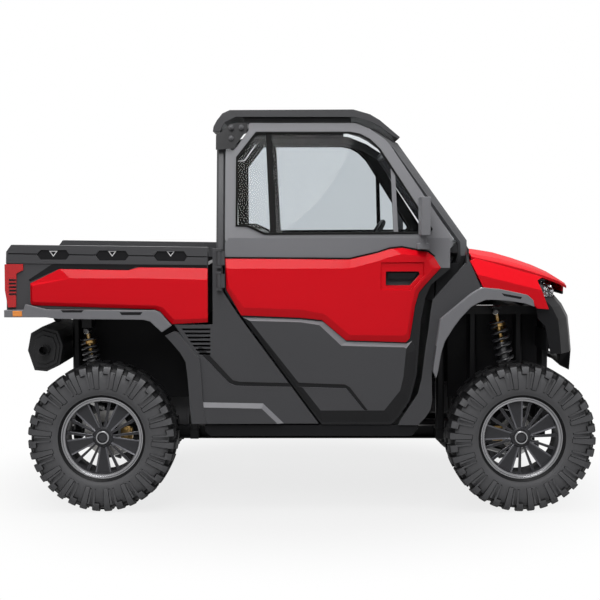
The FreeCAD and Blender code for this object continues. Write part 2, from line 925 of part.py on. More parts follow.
def window_hole():
    """Right-hand window opening, cut through the leaning door frame."""
    points = []
    for s, h in window_shares:
        z = level(h)
        points.append(vec(station(s), -flank(z) - overrun, z))
    deep = window_frame_thickness + 2 * overrun
    return prism(points, vec(0, deep, 0), glass_corner)


def flank_cut(shares, depth):
    """Cutter from outside the body to a depth behind the upright part of the flank."""
    points = side_points(shares, -half_width - 2 * skin_thickness)
    return prism(points, vec(0, 2 * skin_thickness + depth, 0))


def flank_bar(shares, thickness):
    return flank_plate(shares, skin_thickness / 2, thickness)


def hinge_x():
    return station(door_hinge_share)


def hinge_y():
    return -half_width - hinge_stand_off


def hinge_levels():
    """Undersides of the two hinge barrels of a door."""
    low = level(door_hinge_low_share)
    return [low, low + hinge_spacing]


def door_knuckles():
    """Two hinge barrels outside the rear edge of the door, each with a leaf into its edge."""
    parts = []
    edge_x = station(door_rear_share) - seat_gap
    leaf_x = edge_x - hinge_leaf
    deep_y = skin_thickness + overrun - half_width
    back_y = skin_thickness / 2 + seat_gap - half_width
    low_y = hinge_y() - hinge_radius / 2
    for low in hinge_levels():
        high = low + hinge_height
        parts.append(rod(vec(hinge_x(), hinge_y(), low), vec(hinge_x(), hinge_y(), high),
                         hinge_radius))
        parts.append(box(vec(hinge_x(), low_y, low), vec(edge_x, low_y + hinge_radius, high)))
        parts.append(box(vec(leaf_x, low_y, low), vec(edge_x, deep_y, high)))
        parts.append(box(vec(leaf_x, back_y, low), vec(edge_x + overrun, deep_y, high)))
    return parts


def hinge_bores():
    bores = []
    for barrel_low in hinge_levels():
        low = barrel_low - overrun
        high = barrel_low + hinge_height + overrun
        bores.append(rod(vec(hinge_x(), hinge_y(), low), vec(hinge_x(), hinge_y(), high),
                         hinge_pin_radius + running_gap))
    return bores


def door_shell():
    """Right-hand door: hollowed lower panel, leaning window frame with two dividers."""
    inset = skin_thickness / 2
    lower = flank_plate(door_lower_shares, inset, door_thickness - inset, panel_corner)
    upper = flank_plate(door_upper_shares, inset, window_frame_thickness - inset, panel_corner)
    start, end = belt_rail_shares
    low, high = (level(share) for share in belt_rail_heights_share)
    seal = box(vec(station(start), inset - half_width, low),
               vec(station(end), window_frame_thickness - half_width, high))
    whole = joined([lower, upper, seal]).cut(window_hole())
    bars = [flank_bar(rear_divider_shares, window_frame_thickness - inset - overrun),
            flank_bar(front_divider_shares, window_frame_thickness - inset - overrun)]
    pad = faceted_panel(door_pad_base_shares, door_pad_crest_shares, inset, seat_gap,
                        inset + pad_proud)
    groove = flank_cut(door_groove_shares, groove_depth - pad_proud)
    whole = joined([whole, pad] + bars + door_knuckles())
    return whole.cut([groove, handle_pocket()] + hinge_bores())


def handle_pocket():
    points = []
    for s, h in handle_opening_shares:
        z = level(h)
        points.append(vec(station(s), -flank(z) - skin_thickness - overrun, z))
    return prism(points, vec(0, handle_depth + skin_thickness + overrun, 0))


def faceted_panel(base_shares, crest_shares, inset, edge, rise):
    """Panel with a straight edge and bevels that climb to an inner outline."""
    rings = []
    for table, out in ((base_shares, 0), (base_shares, edge), (crest_shares, rise)):
        ring = []
        for s, h in table:
            z = level(h)
            ring.append(vec(station(s), inset - flank(z) - out, z))
        rings.append(ring)
    return ring_solid(rings)


def door_skin():
    """Coloured outer panel with bevelled edges, cut out round the handle."""
    inset = skin_thickness / 2
    skin = faceted_panel(skin_base_shares, skin_crest_shares, inset, inset, skin_thickness)
    points = side_points(handle_bezel_shares, -half_width - 2 * skin_thickness)
    return skin.cut(prism(points, vec(0, 3 * skin_thickness, 0)))


def door_glass():
    """Three panes between the window dividers."""
    middle = (window_frame_thickness - glass_thickness) / 2
    pane = flank_plate(window_shares, middle, glass_thickness, glass_corner)
    for table in (rear_divider_shares, front_divider_shares):
        pane = pane.cut(flank_plate(table, 0, window_frame_thickness))
    return pane


def door_fittings():
    """Handle bezel with its paddle, and the mirror on its stem."""
    inset = skin_thickness / 2
    bezel = flank_plate(handle_bezel_shares, inset - skin_thickness, skin_thickness - seat_gap)
    bezel = bezel.cut(handle_pocket())
    paddle = flank_plate(paddle_shares, inset, handle_depth / 3)
    paddle_seat = flank_plate(paddle_shares, inset, handle_depth - inset)
    s, h = mirror_place_shares
    foot_s, foot_h = mirror_foot_shares
    x = station(s)
    z = level(h)
    inner_y = -half_width - 2 * mirror_stem
    head = box(vec(x - mirror_depth / 2, inner_y - mirror_width, z - mirror_height / 2),
               vec(x + mirror_depth / 2, inner_y, z + mirror_height / 2))
    foot_x = station(foot_s)
    foot_z = level(foot_h)
    stem_y = inner_y - mirror_stem
    stem = box(vec(foot_x - mirror_stem, stem_y - mirror_stem, foot_z),
               vec(foot_x + mirror_stem, stem_y + mirror_stem, z))
    foot = box(vec(foot_x - 2 * mirror_stem, stem_y - mirror_stem, foot_z - mirror_stem),
               vec(foot_x + 2 * mirror_stem, inset - half_width, foot_z + mirror_stem))
    mirror = joined([head, stem, foot])
    handle = joined([bezel, paddle_seat, paddle])
    return Part.makeCompound([handle, mirror])


# Body sides

quarter_shares = [
    (0.2635, 0.654), (0.288, 0.654), (0.288, 0.546), (0.326, 0.486), (0.516, 0.2175),
    (0.245, 0.2175), (0.232, 0.268), (0.226, 0.381), (0.172, 0.4645), (0.2635, 0.4645),
]
quarter_pad_heights_share = (0.240, 0.560)
quarter_groove_shares = [
    (0.231, 0.416), (0.311, 0.326), (0.328, 0.322), (0.447, 0.3190), (0.455, 0.3090),
    (0.318, 0.312), (0.302, 0.319), (0.2285, 0.399),
]
step_base_shares = [(0.2335, 0.271), (0.383, 0.268), (0.433, 0.218), (0.2465, 0.218)]
step_crest_shares = [(0.2375, 0.259), (0.380, 0.256), (0.418, 0.218), (0.2490, 0.218)]
arch_lip_shares = [
    (0.150, 0.438), (0.164, 0.423), (0.186, 0.396), (0.199, 0.372), (0.204, 0.327),
    (0.209, 0.252), (0.213, 0.218), (0.247, 0.218), (0.239, 0.277), (0.237, 0.327),
    (0.232, 0.382), (0.182, 0.4455), (0.1705, 0.4480),
]
vent_top_share = 0.4555
vent_pitch_share = 0.0102
vent_slot_share = 0.0052
vent_front_share = 0.2575
vent_margin_share = 0.011
vent_count = 7
rocker_shares = [
    (0.245, 0.2135), (0.756, 0.2130), (0.7555, 0.205), (0.740, 0.185), (0.255, 0.185),
    (0.243, 0.200),
]
cowl_side_shares = [
    (0.866, 0.618), (0.876, 0.612), (0.9025, 0.5575), (0.876, 0.540), (0.828, 0.498),
    (0.806, 0.4785), (0.796, 0.414), (0.7865, 0.352), (0.788, 0.276), (0.784, 0.251),
    (0.771, 0.231), (0.754, 0.2135), (0.7075, 0.2135), (0.7125, 0.226), (0.754, 0.291),
    (0.763, 0.330), (0.771, 0.401), (0.7785, 0.451), (0.784, 0.501), (0.788, 0.526), (0.806, 0.548),
    (0.849, 0.597),
]


def hinge_pins():
    """Pins for the door's hinges, held above and below each barrel."""
    parts = []
    low_y = hinge_y() - hinge_radius
    for barrel_low in hinge_levels():
        low = barrel_low - pin_gap - hinge_bracket
        high = barrel_low + hinge_height + pin_gap + hinge_bracket
        parts.append(rod(vec(hinge_x(), hinge_y(), low), vec(hinge_x(), hinge_y(), high),
                         hinge_pin_radius))
        for z in (low, high - hinge_bracket):
            parts.append(box(vec(hinge_x() - hinge_radius, low_y, z),
                             vec(hinge_x() + hinge_radius, overrun - half_width, z + hinge_bracket)))
    return parts


def vent_slots():
    """Slots of the vent behind the cab, cut along the panel's slanting rear edge."""
    (low_s, low_h), (high_s, high_h) = quarter_shares[7], quarter_shares[8]
    lean = (high_s - low_s) / (high_h - low_h)
    slots = []
    for index in range(vent_count):
        top = vent_top_share - index * vent_pitch_share
        low = top - vent_slot_share
        rear_top, rear_low = (low_s + lean * (h - low_h) + vent_margin_share for h in (top, low))
        slots.append(flank_cut([(rear_top, top), (vent_front_share, top), (vent_front_share, low),
                                (rear_low, low)], door_thickness))
    return slots


def quarter_panel():
    """Side panel behind the door, with its vent, groove and step and pads to the rear pillar."""
    plate = flank_plate(quarter_shares, 0, door_thickness / 2, 0)
    plate = plate.cut(vent_slots() + [flank_cut(quarter_groove_shares, groove_depth)])
    step = faceted_panel(step_base_shares, step_crest_shares, overrun, overrun + seat_gap,
                         overrun + step_proud)
    arch_lip = prism(side_points(arch_lip_shares, -half_width - arch_lip_proud),
                     vec(0, arch_lip_proud + arch_lip_depth, 0))
    parts = [plate, step, arch_lip] + hinge_pins()
    x = station(cage_side_shares[0][0])
    deep = cage_inset() - cage_width / 2 - seat_gap
    for share in quarter_pad_heights_share:
        z = level(share)
        parts.append(box(vec(x - quarter_pad, door_thickness / 2 - overrun - half_width, z),
                         vec(x + quarter_pad, deep - half_width, z + 2 * quarter_pad)))
    return joined(parts)


def quarter_panels():
    return pair(quarter_panel())


def rocker():
    """Black sill that closes the side of the floor."""
    return flank_plate(rocker_shares, panel_thickness, half_width - panel_thickness - rocker_inner())


def cowl_panel():
    return flank_plate(cowl_side_shares, 0, door_thickness / 2, 0)


cowl_top_shares = [
    (0.832, 0.6505), (0.850, 0.6730), (0.866, 0.6730), (0.8785, 0.6500), (0.8785, 0.6050),
    (0.8720, 0.6050), (0.8720, 0.6405), (0.862, 0.6445), (0.8365, 0.6420),
]
cowl_wing_shares = [
    (0.8680, 0.6400), (0.8750, 0.6225), (0.9020, 0.5600), (0.8900, 0.5490), (0.8700, 0.5600),
]
cowl_half_share = 0.885
cowl_wing_lap = 45.0


def cowl():
    """Side panels ahead of the doors and the panel below the windscreen."""
    side = cowl_panel()
    top = across(cowl_top_shares, beside(cowl_half_share))
    wing = prism(side_points(cowl_wing_shares, -half_width),
                 vec(0, half_width - beside(cowl_half_share) + cowl_wing_lap, 0))
    parts = [top, side, wing, mirrored(side), mirrored(wing)]
    root_x = station(cowl_top_shares[3][0]) - pin_gap
    for end in (-1, 1):
        parts += hood_knuckle(end, True, root_x)
        parts.append(hood_pin(end, 0))
    return clear_of_cage(joined(parts))


dashboard_shares = [
    (0.8280, 0.6480), (0.800, 0.664), (0.735, 0.660), (0.705, 0.630), (0.708, 0.570),
    (0.745, 0.530), (0.7953, 0.5210), (0.7970, 0.5880), (0.8267, 0.6200),
]


def dashboard():
    """Dashboard with the bore that carries the steering shaft."""
    body = across(dashboard_shares, half_width - door_thickness - 2 * panel_gap, panel_corner)
    return body.cut(steering_shaft(running_gap, overrun))


# Seats

seat_base_shares = [
    (0.315, 0.360), (0.500, 0.360), (0.525, 0.370), (0.528, 0.408), (0.515, 0.422), (0.318, 0.411),
]
seat_back_shares = [
    (0.345, 0.4127), (0.402, 0.4159), (0.390, 0.688), (0.374, 0.703), (0.350, 0.702), (0.340, 0.690),
]
seat_sides_share = [(-0.82, -0.30), (-0.28, 0.28), (0.30, 0.82)]


def cushions(shares, sides_share, radius):
    """Side outline of a cushion carried across each seat, lifted clear of the riser."""
    parts = []
    for low_share, high_share in sides_share:
        low = beside(low_share)
        points = side_points(shares, low)
        parts.append(prism(points, vec(0, beside(high_share) - low, 0), radius))
    seats = Part.makeCompound(parts)
    seats.translate(vec(0, 0, panel_thickness + seat_gap))
    return seats


# Front end

hood_line_shares = [
    (0.884, 0.6330, 0.6500, 0.882), (0.960, 0.6150, 0.6390, 0.878), (1.010, 0.6010, 0.6240, 0.865),
    (1.060, 0.5850, 0.6060, 0.840), (1.100, 0.5700, 0.5880, 0.790), (1.128, 0.5560, 0.5700, 0.690),
]
hood_pivot_shares = (0.88125, 0.6465)
hood_hinge_side_share = 0.24
hood_across_shares = [(1.0, 0.0), (0.90, 0.45), (0.50, 0.92), (0.44, 1.0), (0.0, 1.0)]


def hood_ring(entry, drop):
    """Half-crowned cross-section of the hood at one station, thick downwards."""
    s, edge_h, crown_h, half_share = entry
    top = []
    for across_share, rise_share in hood_across_shares:
        z = level(edge_h) + rise_share * (level(crown_h) - level(edge_h))
        top.append((across_share * beside(half_share), z))
    left = [vec(station(s), y, z) for y, z in top]
    right = [vec(station(s), -y, z) for y, z in top[-2::-1]]
    upper = left + right
    lower = [vec(p.x, p.y, p.z - drop) for p in upper[::-1]]
    return upper + lower


def hood_pivot(y):
    s, h = hood_pivot_shares
    return vec(station(s), y, level(h))


def hood_knuckle(side, first, root_x):
    """Hinge barrel on one side of the bonnet's hinge line, with its web.

    The first barrel belongs to the cowl, the second to the bonnet.
    """
    near = beside(hood_hinge_side_share) + (0 if first else hood_knuckle_length + seat_gap)
    far = near + hood_knuckle_length
    low, high = sorted((side * near, side * far))
    barrel = rod(hood_pivot(low), hood_pivot(high), hood_barrel_radius)
    x = station(hood_pivot_shares[0])
    z = level(hood_pivot_shares[1])
    web = box(vec(min(x, root_x), low, z - hood_pin_radius),
              vec(max(x, root_x), high, z + hood_pin_radius))
    return [barrel, web]


def hood_pin(side, gap):
    near = beside(hood_hinge_side_share)
    far = near + 2 * hood_knuckle_length
    return rod(hood_pivot(side * near), hood_pivot(side * far), hood_pin_radius + gap)


def hood():
    """Crowned bonnet panel with the two barrels of its rear hinge."""
    parts = [ring_solid([hood_ring(entry, hood_thickness) for entry in hood_line_shares])]
    root_x = station(hood_line_shares[0][0]) + pin_gap
    for side in (-1, 1):
        parts += hood_knuckle(side, False, root_x)
    return joined(parts).cut([hood_pin(-1, running_gap), hood_pin(1, running_gap)])


fender_crease_shares = [(0.8932, 0.590), (1.0485, 0.550)]
fender_lower_shares = [
    (0.8932, 0.590), (1.0485, 0.550), (1.065, 0.503), (1.037, 0.505), (1.031, 0.512),
    (1.019, 0.535), (0.949, 0.550), (0.9095, 0.554),
]
fender_upper_shares = [
    (0.8932, 0.590), (0.8785, 0.6225), (0.893, 0.6290), (1.055, 0.5820), (1.040, 0.5740),
    (1.0485, 0.550),
]
fender_slope_share = 0.75


def crease_height(s):
    """Height of the fender's crease at a station, as a share."""
    (rear_s, rear_h), (front_s, front_h) = fender_crease_shares
    return rear_h + (s - rear_s) * (front_h - rear_h) / (front_s - rear_s)


def fender():
    """Side panel between the bonnet and the arch: upright, then leaning in above a crease."""
    parts = []
    for table in (fender_lower_shares, fender_upper_shares):
        points = []
        for s, h in table:
            over = max(0, level(h) - level(crease_height(s)))
            points.append(vec(station(s), fender_slope_share * over - half_width, level(h)))
        parts.append(prism(points, vec(0, panel_thickness, 0)))
    return joined(parts)


flare_shares = [
    (0.907, 0.5575), (0.946, 0.5540), (1.010, 0.5400), (1.0235, 0.5275), (1.0265, 0.5110),
    (1.005, 0.519), (0.970, 0.525), (0.934, 0.528), (0.911, 0.528), (0.890, 0.519), (0.875, 0.509),
    (0.850, 0.481), (0.833, 0.456), (0.816, 0.427), (0.807, 0.397), (0.800, 0.352), (0.795, 0.333),
    (0.786, 0.352), (0.7945, 0.414), (0.8045, 0.4800), (0.828, 0.5005), (0.8755, 0.5415),
    (0.893, 0.5530),
]
flare_depth = 52.0


def flare():
    """Arch trim that laps the panels round it and stands out over the front tyre."""
    points = side_points(flare_shares, -half_width - seat_gap)
    return prism(points, vec(0, -flare_depth, 0))


fascia_shares = [
    (1.086, 0.5308), (1.106, 0.507), (1.121, 0.477), (1.126, 0.434), (1.130, 0.383),
    (1.127, 0.333), (1.103, 0.345), (1.100, 0.409), (1.090, 0.459), (1.073, 0.477),
    (1.068, 0.500),
]
fascia_bow_shares = [
    (-0.94, -0.030, 0.390), (-0.80, 0.000, 0.390), (-0.62, 0.016, 0.390), (-0.54, 0.021, 0.333),
    (0.00, 0.034, 0.333),
    (0.54, 0.021, 0.333), (0.62, 0.016, 0.390), (0.80, 0.000, 0.390), (0.94, -0.030, 0.390),
]


fascia_mount_share = 1.102
grille_low_share = 0.352
grille_pitch_share = 0.0240
grille_slot_share = 0.0150
grille_half_share = 0.42
grille_count = 4


def grille_slots():
    """Cooling slots through the middle of the front moulding."""
    half = beside(grille_half_share)
    slots = []
    for index in range(grille_count):
        low = grille_low_share + index * grille_pitch_share
        slots.append(box(vec(station(fascia_shares[-1][0]), -half, level(low)),
                         vec(station(fascia_shares[4][0]) + 2 * rail_width, half,
                             level(low + grille_slot_share))))
    return slots


def fascia():
    """Front moulding with its grille, bowed forwards, with arms back to the front frame."""
    rings = []
    for y_share, bow_share, low_share in fascia_bow_shares:
        y = beside(y_share)
        rings.append([vec(station(s + bow_share), y, level(max(h, low_share)))
                      for s, h in fascia_shares])
    parts = [ring_solid(rings)]
    top = level(front_top_share)
    for side in (-1, 1):
        y = side * beside(bed_rail_side_share)
        parts.append(box(vec(station(front_upper_shares[1]) + seat_gap, y - brace_width / 2,
                             top - brace_width),
                         vec(station(fascia_mount_share), y + brace_width / 2, top)))
    return joined(parts).cut(grille_slots())


lamp_shares = [(1.050, 0.570), (1.080, 0.560), (1.094, 0.548), (1.091, 0.531), (1.075, 0.531)]
lamp_wrap_shares = [(-0.88, 0.030), (-0.80, 0.004), (-0.50, -0.018)]


def headlamp():
    """Right-hand lamp, wrapped round the corner below the bonnet's edge."""
    rings = []
    for y_share, back_share in lamp_wrap_shares:
        y = beside(y_share)
        rings.append([vec(station(s - back_share), y, level(h)) for s, h in lamp_shares])
    return ring_solid(rings)


radiator_side_shares = (1.0870, 1.1010)
radiator_top_share = 0.470
radiator_half_share = 0.42


def radiator():
    """Cooler standing on the front ends of the main rails."""
    start, end = radiator_side_shares
    half = beside(radiator_half_share)
    return box(vec(station(start), -half, rail_top() + seat_gap),
               vec(station(end), half, level(radiator_top_share)))


# Powertrain

engine_side_shares = (0.036, 0.185)
engine_half_share = 0.270
engine_top_share = 0.420
transaxle_shares = (-0.055, 0.030)
front_drive_shares = (0.964, 1.024)
drive_half_share = 0.140


def engine():
    """Plain block for the engine, on the main rails behind the seats."""
    half = beside(engine_half_share)
    (start, end), top = engine_side_shares, engine_top_share
    foot = beside(rail_side_share)
    block = box(vec(station(start), -half, frame_height + seat_gap),
                vec(station(end), half, level(top)))
    feet = box(vec(station(start) + rail_width, -foot, rail_top() + seat_gap),
               vec(station(end) - rail_width, foot, rail_top() + rail_depth))
    return joined([block, feet])


def drive_case(shares, top):
    """Gear case between the main rails, with feet on them."""
    half = beside(drive_half_share)
    foot = beside(rail_side_share)
    start, end = (station(share) for share in shares)
    case = box(vec(start, -half, frame_height + seat_gap), vec(end, half, top))
    feet = box(vec(start, -foot, rail_top() + seat_gap),
               vec(start + rail_depth / 2, foot, rail_top() + rail_depth / 2))
    return [case, feet]


def driveline():
    """Rear transaxle, front differential, propshaft and the four half shafts."""
    z = hub_z
    shaft_z = frame_height + rail_depth / 2
    propshaft = rod(vec(station(engine_side_shares[1]) + seat_gap, 0, shaft_z),
                    vec(station(front_drive_shares[0]) + overrun, 0, shaft_z), propshaft_radius)
    inner = kingpin_y - ball_radius - joint_gap
    drives = []
    for x, shares, extra in ((rear_axle_x, transaxle_shares, []),
                             (front_axle_x, front_drive_shares, [propshaft])):
        parts = drive_case(shares, z + 2 * boot_radius) + extra
        parts.append(rod(vec(x, -inner, z), vec(x, inner, z), half_shaft_radius))
        for side in (-1, 1):
            root = side * (beside(drive_half_share) - overrun)
            tip = side * (beside(rail_side_share) - rail_width / 2 - panel_gap)
            parts.append(rod(vec(x, root, z), vec(x, tip, z), boot_radius))
        drives.append(joined(parts))
    return Part.makeCompound(drives)


muffler_shares = [
    (-0.196, 0.392), (-0.188, 0.436), (-0.160, 0.453), (-0.122, 0.442), (-0.110, 0.405),
    (-0.118, 0.354), (-0.150, 0.338), (-0.180, 0.341),
]
muffler_sides_share = (-0.76, 0.10)
exhaust_pipe_shares = (-0.150, 0.395)
muffler_end_shares = (0.84, 0.64)
muffler_end_step = 10.0
tail_pipe_radius = 26.0


def muffler_end(low, share):
    """Raised step of the muffler's end plate: the outline shrunk towards the pipe."""
    s, h = exhaust_pipe_shares
    shares = [(s + share * (a - s), h + share * (b - h)) for a, b in muffler_shares]
    depth = muffler_end_step * (1 - share) / (1 - muffler_end_shares[0])
    return prism(side_points(shares, low), vec(0, -depth, 0))


def exhaust():
    """Muffler lying across the tail, and the pipe from the engine."""
    low, high = (beside(share) for share in muffler_sides_share)
    body = prism(side_points(muffler_shares, low), vec(0, high - low, 0))
    ends = [muffler_end(low, share) for share in muffler_end_shares]
    s, h = exhaust_pipe_shares
    z = level(h)
    path = [vec(station(s), high - boot_radius, z), vec(station(s), high + boot_radius, z),
            vec(station(engine_side_shares[0]) - seat_gap, high + boot_radius, z)]
    pipe = bar(path, boot_radius, boot_radius, vec(0, 0, 1))
    tail = rod(vec(station(s), low, z), vec(station(s), low - 2 * boot_radius, z), tail_pipe_radius)
    bore = rod(vec(station(s), low, z), vec(station(s), low - 3 * boot_radius, z),
               tail_pipe_radius - skid_thickness / 2)
    return joined([body, pipe, tail] + ends).cut(bore)


# Suspension and steering

bridge_share = 0.40
shock_head_shares = [(-0.058, 0.4450, 0.600), (0.960, 0.4950, 0.590)]
shock_foot_x_shares = (-0.030, 1.004)
spring_ends_share = (0.12, 0.80)
damper_body_share = 0.30


def arm_root_y():
    return beside(rail_side_share) + rail_width / 2


def shock_heads():
    """Upper ends of the rear and front coil-overs, on the driver's side."""
    return [vec(station(s), beside(y_share), level(h)) for s, h, y_share in shock_head_shares]


def bridge_y():
    """Where the plate that carries the coil-over crosses the upper arm."""
    return kingpin_y + bridge_share * (arm_root_y() - kingpin_y)


def wishbone(x, z):
    """Two legs from the frame that meet at the ball joint; right-hand side."""
    tip = vec(x, -kingpin_y, z)
    parts = [Part.makeCylinder(ball_radius, 2 * arm_radius, vec(x, -kingpin_y, z - arm_radius))]
    reach = vec(bush_length / 2, 0, 0)
    for offset in (-arm_spread, arm_spread):
        root = vec(x + offset, -arm_root_y(), z)
        parts.append(bar([root, tip], 2 * arm_radius, 2 * arm_radius, vec(0, 0, 1)))
        parts.append(rod(root - reach, root + reach, bush_radius))
    return parts


def arm_bridge(x, z):
    """Plate between the legs of an upper arm, under the coil-over."""
    half = bridge_share * arm_spread + damper_radius
    return box(vec(x - half, -bridge_y() - arm_radius, z),
               vec(x + half, -bridge_y() + arm_radius, z + arm_radius))


def kingpin(x, gap):
    reach = ball_joint_spread / 2 + arm_radius
    return rod(vec(x, -kingpin_y, hub_z - reach), vec(x, -kingpin_y, hub_z + reach),
               kingpin_radius + gap)


def upright(x, gap):
    """Upright between the arms with its pins and its spindle; right-hand side."""
    half = ball_joint_spread / 2 - arm_radius - gap
    post_block = box(vec(x - ball_radius, -kingpin_y - ball_radius, hub_z - half),
                     vec(x + ball_radius, -kingpin_y + ball_radius, hub_z + half))
    tip = brake_disc_y() + spindle_length - pin_gap
    shaft = rod(vec(x, -kingpin_y, hub_z), vec(x, -tip, hub_z), spindle_radius)
    return [post_block, shaft, kingpin(x, 0)]


def suspension_arms():
    """Upper and lower arms at all four wheels, with the rear uprights."""
    half = ball_joint_spread / 2
    right = []
    for x in (rear_axle_x, front_axle_x):
        bore = kingpin(x, running_gap)
        right.append(joined(wishbone(x, hub_z - half)).cut(bore))
        right.append(joined(wishbone(x, hub_z + half) + [arm_bridge(x, hub_z + half)]).cut(bore))
    right.append(joined(upright(rear_axle_x, seat_gap)))
    return Part.makeCompound(right + [mirrored(shape) for shape in right])


def shock_eye(centre):
    half = vec(damper_radius, 0, 0)
    return rod(centre - half, centre + half, shock_eye_radius)


def coil(start, end):
    """Helical spring whose wire has four sides, from one point to another."""
    along = end - start
    across_it = along.cross(vec(1, 0, 0))
    across_it.normalize()
    beside_it = along.cross(across_it)
    beside_it.normalize()
    lift = along * (spring_wire / along.Length)
    radius = spring_radius - spring_wire
    count = spring_turns * spring_facets
    rings = []
    for index in range(count + 1):
        angle = 2 * math.pi * index / spring_facets
        out = across_it * math.cos(angle) + beside_it * math.sin(angle)
        middle = start + along * (index / count) + out * radius
        rings.append([middle + out * spring_wire, middle + lift, middle - out * spring_wire,
                      middle - lift])
    return ring_solid(rings)


def coil_over(top, bottom):
    """Damper between two eyes, with its coil spring between two seats."""
    first_share, last_share = spring_ends_share
    along = bottom - top
    start = top + along * first_share
    end = top + along * last_share
    lift = along * (spring_seat / along.Length)
    return joined([
        shock_eye(top), shock_eye(bottom), rod(top, bottom, shock_eye_radius - running_gap),
        rod(start + along * damper_body_share, end, damper_radius),
        rod(start - lift, start + lift, spring_radius + pin_gap),
        rod(end - lift, end + lift, spring_radius + pin_gap),
        coil(start, end),
    ])


def shocks():
    """Four coil-over units between the sub-frames and the upper arms."""
    parts = []
    lift = seat_gap + shock_eye_radius
    foot_z = hub_z + ball_joint_spread / 2 + arm_radius + lift
    for head, foot_share in zip(shock_heads(), shock_foot_x_shares):
        top = vec(head.x, -head.y, head.z - lift)
        bottom = vec(station(foot_share), -bridge_y(), foot_z)
        parts.append(coil_over(top, bottom))
    return Part.makeCompound(parts + [mirrored(shape) for shape in parts])


def steer_arm_x():
    return front_axle_x + steer_arm_length


def steer_arm_z():
    """Underside of the steering arm."""
    return hub_z + steer_arm_rise


def knuckle():
    """Front upright with its steering arm ahead of the axle; right-hand side."""
    arm = box(vec(front_axle_x, -kingpin_y - ball_radius / 2, steer_arm_z()),
              vec(steer_arm_x() + ball_radius, -kingpin_y + ball_radius / 2,
                  steer_arm_z() + arm_radius))
    return joined(upright(front_axle_x, pin_gap) + [arm])


def rack_z():
    return steer_arm_z() - panel_gap - tie_rod_radius


def rack():
    """Steering rack bar with its tie rods, which slides across."""
    x = steer_arm_x()
    z = rack_z()
    parts = [rod(vec(x, -kingpin_y, z), vec(x, kingpin_y, z), tie_rod_radius)]
    for side in (-1, 1):
        parts.append(Part.makeCylinder(tie_rod_eye, 2 * tie_rod_radius,
                                       vec(x, side * kingpin_y, z - tie_rod_radius)))
    return joined(parts)


def rack_housing():
    """Tube that carries the rack, with a foot on each main rail."""
    x = steer_arm_x()
    z = rack_z()
    half = beside(rail_side_share) + rail_width / 2
    parts = [rod(vec(x, -half, z), vec(x, half, z), rack_radius)]
    for side in (-1, 1):
        inner = side * (half - rail_width)
        outer = side * half
        parts.append(box(vec(x - rack_foot, min(inner, outer), rail_top() + seat_gap),
                         vec(x + rack_foot, max(inner, outer), z)))
    bore = rod(vec(x, -half - overrun, z), vec(x, half + overrun, z), tie_rod_radius + running_gap)
    return joined(parts).cut(bore)


def steering_axis():
    """Unit vector from the dashboard up to the driver."""
    along = vec(-steering_lean_share, 0, 1 - steering_lean_share)
    along.normalize()
    return along


def steering_centre():
    s, h = steering_hub_shares
    return vec(station(s), beside(driver_share), level(h))


def steering_shaft(gap, extra):
    """Shaft from the wheel's hub into the dashboard."""
    axis = steering_axis()
    tip = steering_centre() - axis * (steering_shaft_length + extra)
    return rod(tip, steering_centre() - axis * steering_wheel_grip, steering_shaft_radius + gap)


def steering_wheel():
    """Rim, three spokes and the shaft that goes into the dashboard."""
    centre = steering_centre()
    axis = steering_axis()
    ring = Part.makeTorus(steering_wheel_radius, steering_wheel_grip, centre, axis)
    hub = Part.makeCylinder(boot_radius, boot_radius, centre - axis * boot_radius, axis)
    parts = [ring, hub]
    side = vec(0, 1, 0)
    up = axis.cross(side) * -1
    for direction in (side, side * -1, up * -1):
        tip = centre + direction * steering_wheel_radius
        parts.append(rod(centre - axis * steering_wheel_grip, tip, steering_wheel_grip / 2))
    parts.append(steering_shaft(0, 0))
    return joined(parts)


# Cargo bed

bed_rail_shares = [
    (-0.227, 0.646), (-0.215, 0.663), (0.252, 0.657), (0.252, 0.613), (-0.228, 0.617),
]
bed_pocket_shares = [
    [(-0.155, 0.639), (-0.145, 0.650), (-0.084, 0.650), (-0.076, 0.638), (-0.085, 0.626),
     (-0.146, 0.626)],
    [(-0.015, 0.637), (-0.006, 0.649), (0.057, 0.648), (0.065, 0.636), (0.056, 0.624),
     (-0.006, 0.624)],
    [(0.123, 0.635), (0.132, 0.647), (0.196, 0.647), (0.204, 0.634), (0.196, 0.622),
     (0.132, 0.623)],
]
rail_groove_shares = [(-0.222, 0.6425), (0.252, 0.6345), (0.252, 0.6315), (-0.222, 0.6395)]
bed_skin_base_shares = [
    (-0.171, 0.567), (-0.101, 0.603), (0.063, 0.600), (0.087, 0.607), (0.252, 0.605),
    (0.252, 0.471), (0.166, 0.466), (0.138, 0.498), (0.126, 0.503), (-0.167, 0.513),
    (-0.171, 0.520),
]
bed_skin_crest_shares = [
    (-0.165, 0.562), (-0.075, 0.580), (0.063, 0.580), (0.087, 0.580), (0.252, 0.576),
    (0.252, 0.481), (0.172, 0.478), (0.146, 0.508), (0.130, 0.513), (-0.160, 0.522),
    (-0.165, 0.526),
]
bed_lip_shares = [
    (-0.181, 0.516), (-0.131, 0.503), (0.126, 0.501), (0.138, 0.496), (0.166, 0.463),
    (0.143, 0.447), (0.115, 0.474), (0.100, 0.478), (-0.100, 0.480), (-0.131, 0.484),
    (-0.205, 0.484), (-0.231, 0.484), (-0.231, 0.502), (-0.185, 0.502),
]
tail_lamp_shares = [
    (-0.231, 0.615), (-0.187, 0.615), (-0.187, 0.600), (-0.203, 0.592), (-0.205, 0.508),
    (-0.224, 0.508), (-0.231, 0.550),
]


reflector_shares = [(-0.210, 0.5000), (-0.188, 0.5000), (-0.188, 0.4865), (-0.210, 0.4865)]


def bed_pivot():
    return vec(station(bed_pivot_shares[0]), 0, level(bed_pivot_shares[1]))


def bed_outside():
    """Half width of the tub behind its coloured panels."""
    return half_width - skin_thickness / 2


